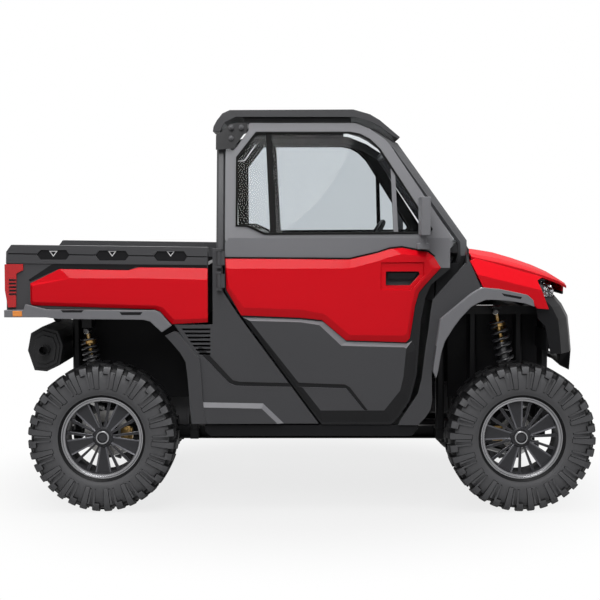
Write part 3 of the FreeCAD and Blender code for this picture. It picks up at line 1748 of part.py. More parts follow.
def bed_lug(side):
    """Ear under the floor that turns on the frame's pin."""
    pivot = bed_pivot()
    inner = beside(bed_rail_side_share) + brace_width / 2 + pin_gap
    near = vec(pivot.x, side * inner, pivot.z)
    far = vec(pivot.x, side * (inner + pivot_lug_width), pivot.z)
    web_low = vec(pivot.x - pivot_lug_radius, min(near.y, far.y), pivot.z)
    web_high = vec(pivot.x + pivot_lug_radius, max(near.y, far.y), level(bed_floor_share) + overrun)
    ear = joined([rod(near, far, pivot_lug_radius), box(web_low, web_high)])
    bore = rod(near - vec(0, side * overrun, 0), far + vec(0, side * overrun, 0),
               pivot_pin_radius + running_gap)
    return ear.cut(bore)


def bed_tub():
    """Cargo box: floor, side walls and front wall, open at the tailgate."""
    low = level(bed_floor_share)
    start = station(bed_tail_share)
    end = station(bed_front_share)
    half = bed_outside()
    outside = across(bed_side_shares, half)
    inside = box(vec(start - overrun, tub_wall - half, low + bed_floor_thickness),
                 vec(end - tub_wall, half - tub_wall, level(tailgate_top_share)))
    whole = joined([outside.cut(inside), bed_lug(-1), bed_lug(1)])
    return whole.cut(gate_pin(running_gap, overrun))


def bed_rails():
    """Rail along the top of each side, with a groove and three tie-down pockets."""
    rail = prism(side_points(bed_rail_shares, -half_width - seat_gap),
                 vec(0, tub_wall + panel_thickness, 0))
    cuts = [flank_cut(shares, groove_depth) for shares in bed_pocket_shares]
    cuts.append(flank_cut(rail_groove_shares, rail_groove_depth))
    return pair(rail.cut(cuts))


def bed_skin():
    inset = skin_thickness / 2
    return faceted_panel(bed_skin_base_shares, bed_skin_crest_shares, inset, inset,
                         skin_thickness)


def bed_lip():
    points = side_points(bed_lip_shares, skin_thickness / 2 - half_width)
    return prism(points, vec(0, -bed_lip_depth, 0))


def tail_lamp():
    points = side_points(tail_lamp_shares, -half_width - skin_thickness / 2)
    return prism(points, vec(0, skin_thickness - seat_gap, 0))


def reflector():
    """Side reflector on the outer face of the bumper end."""
    face_y = skin_thickness / 2 - half_width - bed_lip_depth - seat_gap
    return prism(side_points(reflector_shares, face_y), vec(0, -skin_thickness / 2, 0))


def gate_half():
    return half_width - tub_wall - panel_thickness - panel_gap


def gate_pin(gap, extra):
    """Hinge pin at the foot of the tailgate, into both side walls."""
    s, h = tailgate_pivot_shares
    reach = bed_outside() - tub_wall / 2 + extra
    start = vec(station(s), -reach, level(h))
    return rod(start, vec(station(s), reach, level(h)), gate_pin_radius + gap)


def tailgate():
    """Gate between the tail corners, hinged along its foot."""
    low = level(tailgate_pivot_shares[1]) - hinge_radius
    top = level(tailgate_top_share)
    x = station(bed_tail_share)
    plate = box(vec(x, -gate_half(), low), vec(x + tub_wall, gate_half(), top))
    margin_y, margin_z = gate_margins
    relief = box(vec(x - skin_thickness / 2, margin_y - gate_half(), low + margin_z),
                 vec(x, gate_half() - margin_y, top - margin_z))
    handle = box(vec(x - skin_thickness, -gate_handle_half, top - margin_z - gate_handle_height),
                 vec(x + gate_handle_depth, gate_handle_half, top - margin_z + overrun))
    return joined([plate, relief, gate_pin(0, 0)]).cut(handle)


def write(name, shape):
    shape.exportStep("parts/" + name + ".step")


def main():
    os.makedirs("parts", exist_ok=True)
    pieces = {
        "frame": frame(),
        "rear_frame": rear_frame(),
        "front_frame": front_frame(),
        "tow_points": tow_points(),
        "splash_panels": splash_panels(),
        "skid_plate": skid_plate(),
        "floor_tub": floor_tub(),
        "firewall": firewall(),
        "cage": cage(),
        "gussets": pair(gusset()),
        "roof": roof(),
        "cab_glass": cab_glass(),
        "cowl": cowl(),
        "dashboard": dashboard(),
        "seat_base": cushions(seat_base_shares, seat_sides_share, cushion_corner),
        "seat_backs": cushions(seat_back_shares, seat_sides_share, cushion_corner),
        "quarter_panels": quarter_panels(),
        "rockers": pair(rocker()),
        "front_fenders": pair(fender()),
        "front_flares": pair(flare()),
        "fascia": fascia(),
        "headlamps": pair(headlamp()),
        "radiator": radiator(),
        "engine": engine(),
        "driveline": driveline(),
        "exhaust": exhaust(),
        "suspension_arms": suspension_arms(),
        "shocks": shocks(),
        "rack_housing": rack_housing(),
        "hood": hood(),
        "rack": rack(),
        "steering_wheel": steering_wheel(),
        "bed_tub": bed_tub(),
        "bed_rails": bed_rails(),
        "bed_skins": pair(bed_skin()),
        "bed_lips": pair(bed_lip()),
        "tail_lamps": Part.makeCompound([pair(tail_lamp()), pair(reflector())]),
        "tailgate": tailgate(),
    }
    right = {
        "door_right_shell": door_shell(),
        "door_right_skin": door_skin(),
        "door_right_glass": door_glass(),
        "door_right_fittings": door_fittings(),
        "knuckle_right": knuckle(),
    }
    for name, shape in right.items():
        pieces[name] = shape
        pieces[name.replace("right", "left")] = mirrored(shape)
    rear_phase = 54.0
    front_phase = 28.0
    wheels = [
        ("front_right", front_axle_x, -1, front_phase), ("front_left", front_axle_x, 1, front_phase),
        ("rear_right", rear_axle_x, -1, rear_phase), ("rear_left", rear_axle_x, 1, rear_phase),
    ]
    tyre_model = tyre()
    for name, x, side, phase in wheels:
        pieces["tyre_" + name] = tyre_model.translated(vec(x, side * half_track, hub_z))
        pieces["rim_" + name] = rim(x, side * half_track, side, phase)
    for name, shape in pieces.items():
        if not shape.isValid():
            print("invalid", name)
        write(name, shape)
    print(len(pieces), "pieces")


main()
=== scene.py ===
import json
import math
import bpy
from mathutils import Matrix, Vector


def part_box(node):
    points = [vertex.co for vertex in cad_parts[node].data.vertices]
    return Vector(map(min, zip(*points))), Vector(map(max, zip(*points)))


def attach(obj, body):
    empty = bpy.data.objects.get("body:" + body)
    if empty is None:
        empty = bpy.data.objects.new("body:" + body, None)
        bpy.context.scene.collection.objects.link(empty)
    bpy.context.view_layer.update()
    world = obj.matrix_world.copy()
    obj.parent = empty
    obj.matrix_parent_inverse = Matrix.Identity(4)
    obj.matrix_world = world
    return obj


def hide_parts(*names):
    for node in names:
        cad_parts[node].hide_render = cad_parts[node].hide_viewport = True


bl_info = {
    "name": "Side by side utility vehicle looks",
    "version": (1, 0, 0),
    "blender": (4, 5, 0),
    "location": "View3D > Sidebar > Utility vehicle",
    "description": "Dresses the packed vehicle with panels, tyres, wheels, seats and finishes",
    "category": "Object",
}

import bpy
from mathutils import Matrix, Vector

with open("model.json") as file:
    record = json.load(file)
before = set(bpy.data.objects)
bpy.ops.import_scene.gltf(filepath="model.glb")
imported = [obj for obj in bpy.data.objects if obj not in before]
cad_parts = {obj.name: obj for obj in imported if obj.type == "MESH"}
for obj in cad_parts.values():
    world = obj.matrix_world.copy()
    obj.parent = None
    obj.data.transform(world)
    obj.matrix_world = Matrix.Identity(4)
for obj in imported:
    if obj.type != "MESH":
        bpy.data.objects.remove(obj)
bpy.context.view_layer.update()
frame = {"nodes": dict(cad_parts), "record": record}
nodes = frame["nodes"]

CORNERS_FRONT = ("front_right", "front_left")
CORNERS_REAR = ("rear_right", "rear_left")
CORNERS = CORNERS_FRONT + CORNERS_REAR
SIGNS = (("right", -1), ("left", 1))
# Corners nearer than this are merged
MERGE_DISTANCE = 0.00002
# Turns a piece that stands upright so that it lies across the vehicle
SIDEWAYS = (math.pi / 2, 0, 0)
ORIGIN = (0, 0, 0)


# Selection and basic shapes

def deselect():
    """Leaves edit mode and clears the selection."""
    active = bpy.context.view_layer.objects.active
    if active is not None and active.mode != "OBJECT":
        finish_edit()
    bpy.ops.object.select_all(action="DESELECT")


def pick(piece):
    deselect()
    piece.select_set(True)
    bpy.context.view_layer.objects.active = piece


def edit(piece):
    """Enters edit mode on a piece with all of its mesh selected."""
    pick(piece)
    bpy.ops.object.mode_set(mode="EDIT")
    select_mesh()


def select_mesh():
    bpy.ops.mesh.select_all(action="SELECT")


def finish_edit():
    bpy.ops.object.mode_set(mode="OBJECT")


def close_mesh(merge=False):
    """Turns all faces outwards, near corners merged if asked for, and leaves edit mode."""
    select_mesh()
    bpy.ops.mesh.select_mode(type="VERT")
    if merge:
        bpy.ops.mesh.remove_doubles(threshold=MERGE_DISTANCE)
    bpy.ops.mesh.normals_make_consistent(inside=False)
    finish_edit()


def settle(piece):
    """Moves the piece's place into its mesh, so that its object sits at the origin."""
    pick(piece)
    bpy.ops.object.transform_apply(location=True, rotation=True, scale=True)


def modified(piece, kind, **values):
    """Adds a modifier with its values and applies it."""
    pick(piece)
    modifier = piece.modifiers.new(kind.title(), kind)
    for key, value in values.items():
        setattr(modifier, key, value)
    bpy.ops.object.modifier_apply(modifier=modifier.name)


def rounded(piece, width, segments=2, angle=28):
    modified(piece, "BEVEL", width=width, segments=segments, limit_method="ANGLE",
             angle_limit=math.radians(angle), miter_outer="MITER_ARC", harden_normals=False)


def smooth(piece, angle=38):
    pick(piece)
    bpy.ops.object.shade_smooth_by_angle(angle=math.radians(angle), keep_sharp_edges=True)


def block(name, centre, size, turn=(0, 0, 0)):
    """Block with its place in its mesh."""
    deselect()
    bpy.ops.mesh.primitive_cube_add(size=1, location=centre, rotation=turn, scale=size)
    piece = bpy.context.object
    piece.name = name
    settle(piece)
    return piece


def bar(name, centre, size, edge, turn=(0, 0, 0)):
    """Block with rounded edges."""
    piece = block(name, centre, size, turn)
    rounded(piece, edge)
    return piece


def barrel(name, centre, radius, length, turn, sides=48):
    deselect()
    bpy.ops.mesh.primitive_cylinder_add(vertices=sides, radius=radius, depth=length,
                                        location=centre, rotation=turn)
    piece = bpy.context.object
    piece.name = name
    return piece


def copy_of(piece, name):
    twin = piece.copy()
    twin.data = piece.data.copy()
    twin.name = name
    bpy.context.collection.objects.link(twin)
    return twin


def merged(name, parts):
    """Joins pieces into one object."""
    deselect()
    for part in parts:
        part.select_set(True)
    bpy.context.view_layer.objects.active = parts[0]
    if len(parts) > 1:
        bpy.ops.object.join()
    parts[0].name = name
    return parts[0]


def mirrored(piece, name):
    """Twin on the other side of the vehicle."""
    twin = copy_of(piece, name)
    edit(twin)
    bpy.ops.transform.resize(value=(1, -1, 1), center_override=ORIGIN)
    bpy.ops.mesh.flip_normals()
    finish_edit()
    return twin


def surface(name):
    """The finish of a name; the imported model's own plain materials have names without look_."""
    return bpy.data.materials["look_" + name]


def coloured(piece, finish):
    """Gives a piece one finish only."""
    piece.data.materials.clear()
    piece.data.materials.append(surface(finish))


def dressed(piece, body, finish, stands_for=()):
    """Gives a finished piece its body and its finish, or None to keep its own."""
    settle(piece)
    piece.data.name = piece.name
    if finish:
        coloured(piece, finish)
    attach(piece, body)
    if stands_for:
        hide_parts(*stands_for)
    return piece


def body_of_node(node):
    for body, members in frame["record"]["behaviour"]["bodies"].items():
        if node in members:
            return body
    raise RuntimeError("no body holds " + node)


def slot_of_node(node):
    for part in frame["record"]["subparts"]:
        if part["node"] == node:
            return part["material_slot"]
    raise RuntimeError("no slot for " + node)


def node_copy(node):
    """Copy of a CAD node with its loose triangles merged, left in edit mode."""
    source = nodes[node]
    piece = source.copy()
    piece.data = source.data.copy()
    piece.parent = None
    piece.matrix_world = Matrix.Identity(4)
    piece.name = "look_" + node
    bpy.context.collection.objects.link(piece)
    edit(piece)
    bpy.ops.mesh.remove_doubles(threshold=MERGE_DISTANCE)
    return piece


def refined(node, width, segments=2, angle=28, finish=None, shade=38, levels=(), proud=()):
    """Stands in for a CAD node: the same form with its edges rounded and its faces merged.
    Its faces are divided at the levels; proud gives a sideways place and how far the form
    beyond it stands out further."""
    piece = node_copy(node)
    bpy.ops.mesh.dissolve_limited(angle_limit=math.radians(0.6))
    for height in levels:
        select_mesh()
        bpy.ops.mesh.bisect(plane_co=(0, 0, height), plane_no=(0, 0, 1))
    finish_edit()
    if proud:
        for vertex in piece.data.vertices:
            if abs(vertex.co.y) > proud[0]:
                vertex.co.y += math.copysign(proud[1], vertex.co.y)
    rounded(piece, width, segments, angle)
    smooth(piece, shade)
    modified(piece, "WEIGHTED_NORMAL", keep_sharp=True, weight=60)
    slot = slot_of_node(node)
    return dressed(piece, body_of_node(node), finish or slot, (node,))


# Shapes from an outline

def plate(name, outline, low, high, ring=None):
    """Flat piece from an outline of lengthwise and upright places, from low to high sideways.
    With a ring's width, only a ring of that width stays inside the outline."""
    piece = profile_line(name, [(x, low, z) for x, z in outline])
    select_mesh()
    bpy.ops.mesh.edge_face_add()
    if ring:
        bpy.ops.mesh.select_mode(type="FACE")
        bpy.ops.mesh.inset(thickness=ring)
        bpy.ops.mesh.delete(type="FACE")
        select_mesh()
    bpy.ops.mesh.extrude_region_move(TRANSFORM_OT_translate={"value": (0, high - low, 0)})
    close_mesh()
    return piece


def aimed(piece, start, end):
    """Turns a piece that stands on the origin so that it runs from one point to another."""
    settle(piece)
    way = Vector(end) - Vector(start)
    turn = way.to_track_quat("Z", "Y").to_matrix().to_4x4()
    piece.matrix_world = Matrix.Translation(start) @ turn
    settle(piece)
    return piece


def select_where(piece, test):
    """Selects the faces whose centre and normal pass a test, and stays in edit mode."""
    edit(piece)
    bpy.ops.mesh.select_mode(type="FACE")
    bpy.ops.mesh.select_all(action="DESELECT")
    finish_edit()
    for item in piece.data.polygons:
        item.select = bool(test(item.center, item.normal))
    bpy.ops.object.mode_set(mode="EDIT")


def scale_faces(piece, test, shares, middle):
    """Scales the faces that pass a test about a middle."""
    select_where(piece, test)
    bpy.ops.transform.resize(value=shares, center_override=middle)
    finish_edit()


def inset_faces(piece, test, width, rise):
    """Insets the faces that pass a test and raises what is left inside."""
    select_where(piece, test)
    bpy.ops.mesh.inset(thickness=width, depth=rise)
    finish_edit()


def two_toned(piece, second, test):
    """Gives the faces that pass a test a second finish."""
    if surface(second) not in list(piece.data.materials):
        piece.data.materials.append(surface(second))
    select_where(piece, test)
    piece.active_material_index = list(piece.data.materials).index(surface(second))
    bpy.ops.object.material_slot_assign()
    bpy.ops.mesh.select_mode(type="VERT")
    finish_edit()


def divided(piece, place, way):
    """Divides the piece's faces where a plane crosses them."""
    edit(piece)
    bpy.ops.mesh.bisect(plane_co=place, plane_no=way)
    finish_edit()


# Turned shapes

def profile_line(name, points):
    """A chain of edges through points, made by extruding one vertex along them."""
    deselect()
    bpy.ops.mesh.primitive_plane_add(size=0.01, location=(0, 0, 0))
    piece = bpy.context.object
    piece.name = name
    bpy.ops.object.mode_set(mode="EDIT")
    bpy.ops.mesh.select_mode(type="VERT")
    select_mesh()
    bpy.ops.mesh.merge(type="CENTER")
    bpy.ops.transform.translate(value=points[0])
    for before, point in zip(points, points[1:]):
        step = Vector(point) - Vector(before)
        bpy.ops.mesh.extrude_vertices_move(TRANSFORM_OT_translate={"value": step})
    return piece


def lathed(name, profile, axle, steps=96):
    """Ring turned about an axle along Y; the profile is in radius and sideways offset."""
    points = [(axle[0] + radius, axle[1] + offset, axle[2]) for radius, offset in profile]
    piece = profile_line(name, points)
    select_mesh()
    bpy.ops.mesh.spin(steps=steps, angle=2 * math.pi, center=axle, axis=(0, 1, 0))
    close_mesh(True)
    return piece


def wedge(name, profile, axle, start, sweep, steps):
    """Closed profile swept part of the way round an axle, with both ends filled."""
    points = [(axle[0] + radius, axle[1] + offset, axle[2]) for radius, offset in profile]
    piece = profile_line(name, points)
    select_mesh()
    bpy.ops.mesh.edge_face_add()
    select_mesh()
    bpy.ops.transform.rotate(value=-start, orient_axis="Y", center_override=axle)
    bpy.ops.mesh.spin(steps=steps, angle=sweep, center=axle, axis=(0, 1, 0))
    bpy.ops.mesh.select_all(action="DESELECT")
    bpy.ops.mesh.select_non_manifold()
    bpy.ops.mesh.edge_face_add()
    close_mesh(True)
    return piece


def around(piece, axle, count):
    """Repeats a piece at even steps round an axle along Y."""
    empty = bpy.data.objects.new("turn", None)
    bpy.context.collection.objects.link(empty)
    pick(piece)
    bpy.context.scene.cursor.location = axle
    bpy.ops.object.origin_set(type="ORIGIN_CURSOR")
    empty.location = axle
    empty.rotation_euler = (0, 2 * math.pi / count, 0)
    bpy.context.view_layer.update()
    modified(piece, "ARRAY", count=count, use_relative_offset=False, use_object_offset=True,
             offset_object=empty)
    bpy.data.objects.remove(empty)
    settle(piece)
    return piece


# Finishes

def wire(tree, *links):
    """Joins sockets: each link is a node with its output, then a node with its input."""
    for source, way_out, target, way_in in links:
        tree.links.new(source.outputs[way_out], target.inputs[way_in])


def preset(node, values):
    for name, value in values.items():
        node.inputs[name].default_value = value


def grain_group():
    """Colour patches, sheen patches and a pebbled height for moulded and painted surfaces."""
    group = bpy.data.node_groups.new("Surface grain", "ShaderNodeTree")
    grey = (0.1, 0.1, 0.1, 1)
    for name, direction, kind, default in (
            ("Vector", "INPUT", "Vector", None), ("Dark", "INPUT", "Color", grey),
            ("Light", "INPUT", "Color", grey), ("Patch scale", "INPUT", "Float", 4.0),
            ("Grain scale", "INPUT", "Float", 600.0), ("Smooth", "INPUT", "Float", 0.4),
            ("Rough", "INPUT", "Float", 0.6), ("Colour", "OUTPUT", "Color", None),
            ("Roughness", "OUTPUT", "Float", None), ("Height", "OUTPUT", "Float", None)):
        item = group.interface.new_socket(name=name, in_out=direction,
                                          socket_type="NodeSocket" + kind)
        if default is not None:
            item.default_value = default
    make = group.nodes.new
    start, end = make("NodeGroupInput"), make("NodeGroupOutput")
    patches, pebbles = make("ShaderNodeTexNoise"), make("ShaderNodeTexVoronoi")
    preset(patches, {"Detail": 5.0, "Roughness": 0.6})
    mix, sheen = make("ShaderNodeMix"), make("ShaderNodeMapRange")
    mix.data_type = "RGBA"
    preset(sheen, {"From Min": 0.3, "From Max": 0.7})
    wire(group, (start, "Vector", patches, "Vector"), (start, "Patch scale", patches, "Scale"),
         (start, "Vector", pebbles, "Vector"), (start, "Grain scale", pebbles, "Scale"),
         (patches, "Fac", mix, "Factor"), (start, "Dark", mix, 6), (start, "Light", mix, 7),
         (patches, "Fac", sheen, "Value"), (start, "Smooth", sheen, "To Min"),
         (start, "Rough", sheen, "To Max"), (mix, 2, end, "Colour"),
         (sheen, "Result", end, "Roughness"), (pebbles, "Distance", end, "Height"))
    return group


def tone(colour, share):
    return tuple(min(1.0, value * share) for value in colour[:3]) + (1.0,)


def finish(name, colour, roughs, metallic=0.0, coat=0.0, spread=0.08, patch=3.0, grain=500.0,
           depth=0.15, step=0.0004, specular=0.5):
    """One surface finish: patches of colour and sheen with a fine pebbled bump."""
    material = bpy.data.materials.new("look_" + name)
    material.use_nodes = True
    tree = material.node_tree
    shader = tree.nodes["Principled BSDF"]
    place = tree.nodes.new("ShaderNodeTexCoord")
    group = tree.nodes.new("ShaderNodeGroup")
    group.node_tree = bpy.data.node_groups["Surface grain"]
    preset(group, {"Dark": tone(colour, 1 - spread), "Light": tone(colour, 1 + spread),
                   "Patch scale": patch, "Grain scale": grain, "Smooth": roughs[0],
                   "Rough": roughs[1]})
    bump = tree.nodes.new("ShaderNodeBump")
    preset(bump, {"Strength": depth, "Distance": step})
    wire(tree, (place, "Object", group, "Vector"), (group, "Colour", shader, "Base Color"),
         (group, "Roughness", shader, "Roughness"), (group, "Height", bump, "Height"),
         (bump, "Normal", shader, "Normal"))
    preset(shader, {"Metallic": metallic, "Coat Weight": coat, "Coat Roughness": 0.06,
                    "Specular IOR Level": specular})
    return material


def clear_finish(name, colour, roughness, bending):
    """Glass or a clear lens; bending is its index of refraction."""
    material = finish(name, colour, (roughness, roughness + 0.01), spread=0.02, patch=2.0,
                      grain=20.0, depth=0.0)
    preset(material.node_tree.nodes["Principled BSDF"],
           {"Transmission Weight": 1.0, "IOR": bending})
    return material


class VehicleColours(bpy.types.PropertyGroup):
    body: bpy.props.FloatVectorProperty(
        name="Body colour", description="Coloured panels: doors, fenders, bonnet and bed",
        subtype="COLOR", size=3, min=0, max=1, default=(0.540, 0.003, 0.009))
    mould: bpy.props.FloatVectorProperty(
        name="Grey mouldings", description="Textured grey trim and side panels",
        subtype="COLOR", size=3, min=0, max=1, default=(0.047, 0.047, 0.050))
    black: bpy.props.FloatVectorProperty(
        name="Black mouldings", description="Sills, dashboard and inner panels",
        subtype="COLOR", size=3, min=0, max=1, default=(0.009, 0.009, 0.010))
    glass: bpy.props.FloatVectorProperty(
        name="Glass tint", description="Colour seen through one pane",
        subtype="COLOR", size=3, min=0, max=1, default=(0.70, 0.73, 0.75))


class VehicleSizes(bpy.types.PropertyGroup):
    panel_edge: bpy.props.FloatProperty(
        name="Panel edge", description="Rounding of the moulded panels' edges",
        subtype="DISTANCE", unit="LENGTH", min=0.0005, max=0.01, default=0.0035)
    metal_edge: bpy.props.FloatProperty(
        name="Metal edge", description="Rounding of tubes and brackets",
        subtype="DISTANCE", unit="LENGTH", min=0.0005, max=0.01, default=0.003)
    lug_count: bpy.props.IntProperty(
        name="Lugs round a tyre", description="Shoulder lugs on each side of a tyre",
        min=12, max=60, default=36)
    seat_mesh: bpy.props.FloatProperty(
        name="Seat mesh", description="Size of the squares that the seats are remeshed to",
        subtype="DISTANCE", unit="LENGTH", min=0.004, max=0.03, default=0.011)
    camera_distance: bpy.props.FloatProperty(
        name="Camera distance", description="From the camera to the vehicle's middle plane",
        subtype="DISTANCE", unit="LENGTH", min=3.0, max=20.0, default=7.300)


class VEHICLE_OT_finishes(bpy.types.Operator):
    """Makes the finishes and gives each CAD node its own"""
    bl_idname = "vehicle.finishes"
    bl_label = "Finishes"

    def execute(self, context):
        colours = context.scene.vehicle_colours
        grain_group()
        finish("body_paint", colours.body, (0.30, 0.40), coat=0.16, spread=0.03, grain=260.0,
               depth=0.03, specular=0.0)
        finish("grey_mould", colours.mould, (0.42, 0.58), grain=900.0, depth=0.2, specular=0.16)
        # Painted shade: a darker copy of the grey mouldings for the recessed border of the doors
        # and the set-back faces of the quarter panels
        finish("painted_shade_mould", tone(colours.mould, 0.32), (0.42, 0.58), grain=900.0, depth=0.2,
               specular=0.10)
        # Painted light: a lighter copy of the grey mouldings for the tops and upward slopes of the
        # grey trim, standing for the light that falls on them from above
        finish("painted_light_mould", tone(colours.mould, 2.9), (0.36, 0.52), grain=900.0, depth=0.2,
               specular=0.25)
        finish("roof_mould", tone(colours.mould, 0.85), (0.36, 0.50), grain=900.0, depth=0.2,
               specular=0.20)
        finish("black_mould", colours.black, (0.42, 0.58), grain=900.0, depth=0.1, specular=0.08)
        # Black rubber of the window seals and window bars, also used for the painted shadow line
        # above the door skins
        finish("seal_rubber_and_painted_shadow", (0.005, 0.005, 0.005), (0.45, 0.6), grain=700.0, depth=0.1,
               specular=0.06)
        finish("bright_trim", (0.62, 0.62, 0.63), (0.30, 0.42), grain=700.0, depth=0.05)
        finish("frame_paint", (0.007, 0.007, 0.008), (0.36, 0.52), grain=400.0, depth=0.08,
               specular=0.15)
        finish("cage_paint", (0.060, 0.060, 0.064), (0.28, 0.42), grain=400.0, depth=0.08,
               specular=0.30)
        finish("tyre_rubber", (0.005, 0.005, 0.0055), (0.46, 0.66), spread=0.18, patch=6.0,
               grain=700.0, depth=0.25, specular=0.14)
        # Painted sheen: a lighter copy of the tyre rubber for the sideways faces of the tyres,
        # standing for the light on their sidewalls
        finish("tyre_painted_sheen", (0.068, 0.068, 0.071), (0.48, 0.68), spread=0.20, patch=9.0,
               grain=700.0, depth=0.25, specular=0.2)
        finish("wheel_paint", (0.028, 0.028, 0.031), (0.28, 0.40), depth=0.05,
               specular=0.2)
        finish("wheel_edge", (0.09, 0.09, 0.10), (0.24, 0.34), metallic=0.5, depth=0.04)
        finish("wheel_cap", (0.30, 0.30, 0.31), (0.24, 0.34), metallic=0.8, depth=0.04)
        finish("brass", (0.42, 0.27, 0.10), (0.28, 0.42), metallic=0.9, spread=0.12, patch=30.0,
               grain=600.0, depth=0.08)
        finish("steel", (0.42, 0.41, 0.40), (0.28, 0.45), metallic=1.0, spread=0.12, patch=14.0,
               grain=900.0, depth=0.1)
        finish("dark_steel", (0.016, 0.016, 0.017), (0.34, 0.50), spread=0.2, patch=9.0,
               grain=600.0, depth=0.1, specular=0.2)
        finish("cast_metal", (0.055, 0.055, 0.058), (0.45, 0.62), metallic=0.5, spread=0.15,
               patch=10.0, grain=260.0, depth=0.35)
        finish("spring_paint", (0.030, 0.030, 0.033), (0.22, 0.34), coat=0.3, grain=300.0,
               depth=0.05, specular=0.5)
        finish("seat_vinyl", (0.012, 0.012, 0.014), (0.45, 0.6), spread=0.12, patch=5.0,
               grain=420.0, depth=0.45, specular=0.2)
        finish("zinc", (0.50, 0.49, 0.46), (0.30, 0.42), metallic=1.0, spread=0.08, patch=20.0,
               grain=900.0, depth=0.05)
        finish("core", (0.030, 0.030, 0.032), (0.45, 0.6), grain=300.0, depth=0.2, specular=0.2)
        finish("amber_lens", (0.70, 0.22, 0.02), (0.12, 0.2), coat=0.4, grain=120.0, depth=0.1)
        finish("tail_lens", (0.42, 0.006, 0.008), (0.10, 0.16), coat=0.4, grain=150.0, depth=0.1,
               specular=0.2)
        finish("reflector", (0.62, 0.62, 0.65), (0.22, 0.30), metallic=1.0, grain=90.0, depth=0.1)
        clear_finish("clear_glass", colours.glass, 0.0, 1.12)
        clear_finish("lamp_lens", (0.95, 0.96, 0.97), 0.12, 1.30)
        for name, node in nodes.items():
            coloured(node, slot_of_node(name))
        return {"FINISHED"}


CREASED_NODES = (
    "door_right_shell", "door_left_shell", "door_right_skin", "door_left_skin", "bed_skins",
    "quarter_panels", "front_flares", "bed_lips", "bed_rails", "cowl", "front_fenders",
    "door_right_fittings", "door_left_fittings", "rockers", "tailgate", "fascia",
)
ROUND_NODES = ("roof", "hood", "dashboard", "bed_tub", "floor_tub", "firewall", "splash_panels")
METAL_NODES = (
    "frame", "rear_frame", "front_frame", "tow_points", "cage", "gussets", "skid_plate",
    "suspension_arms", "knuckle_left", "knuckle_right", "rack_housing", "rack", "driveline",
    "engine", "exhaust",
)
DARKER_METAL = {
    "exhaust": "dark_steel", "gussets": "frame_paint", "suspension_arms": "spring_paint",
}


# Heights at which the door shell's faces are divided: the pads' top, then the window's
PAD_TOP = 1.252
DOOR_LEVELS = (PAD_TOP, 1.4285, 1.836, 1.9495)
# Sideways place beyond which a coloured skin stands out further, and by how much
SKIN_PROUD = (0.7448, 0.008)
# Sideways places between which the door's border lies, inside its pads
DOOR_BORDER = (0.7300, 0.7455)
QUARTER_BORDER = 0.7385
RAIL_POCKETS = (0.70, 0.7385, 1.27, 1.348)


def on_divider(centre, normal):
    """True for the two bars that stand in a side window."""
    if not 1.428 < centre.z < 1.945:
        return False
    rear = -0.171 + (1.95 - centre.z) * 0.0692
    front = 0.461 + (1.79 - centre.z) * 0.10
    return abs(centre.x - rear) < 0.024 or (centre.z < 1.83 and abs(centre.x - front) < 0.020)


def painted_highlight_slope(centre, normal):
    """True for the narrow slopes of the lower side panels that face up and outwards; these get a
    painted highlight.
    """
    return centre.z < 1.10 and abs(normal.y) > 0.3 and 0.28 < normal.z < 0.95


